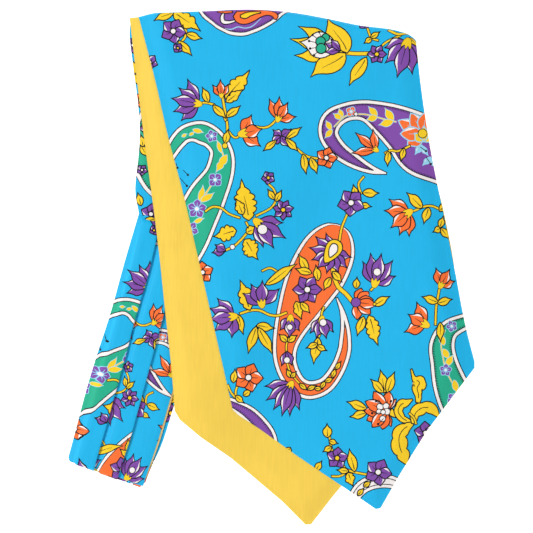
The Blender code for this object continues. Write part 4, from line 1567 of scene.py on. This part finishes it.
class CRAVAT_OT_rear(bpy.types.Operator):
    """Lays the rear blade, turned over so that its lining is up"""
    bl_idname = "cravat.rear"
    bl_label = "Rear blade"

    def execute(self, context):
        cloth = context.scene.cravat_cloth
        wave = cloth.unevenness / MM
        droop = cloth.droop / MM
        layers = Layers()
        cut, free = blade_cut(REAR, REAR_PRINT_REACH, 0.5)
        cut = clean(cut)

        def level_print(flat):
            z = layers.under_rear(flat) + LOWER_CLOTH - edge_droop(flat, free, 0.45, 9.0)
            return np.column_stack((flat, z))

        item = sheet_mesh("rear_blade_print", cut, level_print, cloth.silk / MM, PRINTED,
                          print_on_sheet(DESIGN, REAR_PRINT), grid_lines(cut, 6.0, REAR.tilt))
        declare(item, "rear_blade", cut, REAR.tilt)

        cut, free = blade_cut(REAR, -REAR_BACK - REAR_ROLL + REAR_TURN * REAR_ROLL)

        def level(base):
            return (layers.under_rear(base) + UPPER_CLOTH - edge_droop(base, free, droop * 0.8, 12.0)
                    + ripple(base, REAR_WAVE, wave) + ripple(base, REAR_SMALL_WAVE, wave))

        item = sheet_mesh(
            "rear_lining", cut,
            lambda flat: rolled(flat, REAR, REAR_BACK, REAR_ROLL, level, False, REAR_TURN),
            cloth.lining / MM, LINING,
            guides=(grid_lines(cut, 4.0, REAR.tilt)
                    + roll_guides(cut, REAR_BACK, REAR_ROLL, REAR_TURN)))
        declare(item, "rear_blade_lining", cut, REAR.tilt)
        return {"FINISHED"}


class CRAVAT_OT_front(bpy.types.Operator):
    """Lays the front blade and its lining, rolled over the top fold"""
    bl_idname = "cravat.front"
    bl_label = "Front blade"

    def execute(self, context):
        cloth = context.scene.cravat_cloth
        wave = cloth.unevenness / MM
        droop = cloth.droop / MM
        layers = Layers()
        cut, free = blade_cut(FRONT, -FRONT_ROLL, 0.35)
        cut = clean(lining_peek(cut))

        def level_lining(flat):
            z = layers.under_front(flat) + LOWER_CLOTH - edge_droop(flat, free, droop * 0.6, 13.0)
            return np.column_stack((flat, z + ripple(flat, FRONT_WAVE, wave)))

        item = sheet_mesh("front_lining", cut, level_lining, cloth.lining / MM, LINING,
                          guides=grid_lines(cut, 5.0, FRONT.tilt))
        declare(item, "front_blade_lining", cut, FRONT.tilt)

        cut, free = blade_cut(FRONT, -FRONT_ROLL + math.pi * FRONT_ROLL)

        def level(base):
            return (layers.under_front(base) + UPPER_CLOTH - edge_droop(base, free, droop, 13.0)
                    + ripple(base, FRONT_WAVE, wave))

        item = sheet_mesh(
            "front_blade_print", cut,
            lambda flat: rolled(flat, FRONT, 0.0, FRONT_ROLL, level, True, math.pi),
            cloth.silk / MM, PRINTED, all_to_mm(DESIGN),
            grid_lines(cut, 4.5, FRONT.tilt) + roll_guides(cut, 0.0, FRONT_ROLL, math.pi),
            plain_back=True)
        declare(item, "front_blade", cut, FRONT.tilt)
        return {"FINISHED"}


class CRAVAT_OT_stage(bpy.types.Operator):
    """Puts in the white floor, the lights and the camera straight above"""
    bl_idname = "cravat.stage"
    bl_label = "Stage"

    def execute(self, context):
        stage = context.scene.cravat_stage
        bpy.ops.mesh.primitive_plane_add(size=6.0, location=(0.0, 0.0, -0.0001))
        floor = context.object
        floor.name = "floor"
        white = bpy.data.materials.new("white floor")
        white.use_nodes = True
        tree = white.node_tree
        grain = add_node(tree, "TexNoise", {"Scale": 30.0}).outputs["Fac"]
        tone = add_node(tree, "MapRange", {"Value": grain, "To Min": 0.93, "To Max": 0.96})
        shader = tree.nodes["Principled BSDF"].inputs
        tree.links.new(tone.outputs["Result"], shader["Base Color"])
        shader["Roughness"].default_value = 0.9
        shader["Specular IOR Level"].default_value = 0.0
        shader["Emission Color"].default_value = (1.0, 1.0, 1.0, 1.0)
        shader["Emission Strength"].default_value = 0.75
        floor.data.materials.append(white)

        world = bpy.data.worlds.new("surround")
        context.scene.world = world
        world.use_nodes = True
        sky = world.node_tree.nodes["Background"]
        sky.inputs["Color"].default_value = (1.0, 1.0, 1.0, 1.0)
        sky.inputs["Strength"].default_value = stage.fill

        for row in LIGHTS:
            bpy.ops.object.light_add(type="AREA", location=row.place)
            light = context.object
            light.name = row.name
            light.data.shape = "DISK"
            light.data.size = row.size
            light.data.energy = stage.key * row.share
            light.rotation_euler = Vector(row.place).to_track_quat("Z", "Y").to_euler()

        distance = VIEW_WIDTH * MM / SENSOR * stage.lens
        above = Vector(VIEW_CENTRE) * MM + Vector((0.0, 0.0, distance))
        bpy.ops.object.camera_add(location=above, rotation=(0.0, 0.0, 0.0))
        camera = context.object
        camera.data.sensor_width = SENSOR
        camera.data.lens = stage.lens
        camera.data.clip_end = 20.0
        context.scene.camera = camera
        context.scene.view_settings.view_transform = "Standard"
        return {"FINISHED"}


class CRAVAT_PT_panel(bpy.types.Panel):
    """Buttons and sizes for the cravat"""
    bl_label = "Silk Cravat"
    bl_idname = "CRAVAT_PT_panel"
    bl_space_type = "VIEW_3D"
    bl_region_type = "UI"
    bl_category = "Cravat"

    def draw(self, context):
        layout = self.layout
        for name in ("silk", "lining", "droop", "unevenness"):
            layout.prop(context.scene.cravat_cloth, name)
        for operator in PIECES:
            layout.operator(operator.bl_idname)
        for name in ("lens", "key", "fill"):
            layout.prop(context.scene.cravat_stage, name)
        layout.operator(CRAVAT_OT_stage.bl_idname)


PIECES = (CRAVAT_OT_under, CRAVAT_OT_neck, CRAVAT_OT_neckband, CRAVAT_OT_rear, CRAVAT_OT_front)
CLASSES = (CravatCloth, CravatStage) + PIECES + (CRAVAT_OT_stage, CRAVAT_PT_panel)


def register():
    for item in CLASSES:
        bpy.utils.register_class(item)
    bpy.types.Scene.cravat_cloth = bpy.props.PointerProperty(type=CravatCloth)
    bpy.types.Scene.cravat_stage = bpy.props.PointerProperty(type=CravatStage)


def unregister():
    del bpy.types.Scene.cravat_stage
    del bpy.types.Scene.cravat_cloth
    for item in reversed(CLASSES):
        bpy.utils.unregister_class(item)


def main():
    register()
    bpy.ops.cravat.under()
    bpy.ops.cravat.neck()
    bpy.ops.cravat.neckband()
    bpy.ops.cravat.rear()
    bpy.ops.cravat.front()
    bpy.ops.cravat.stage()


if __name__ == "__main__":
    main()
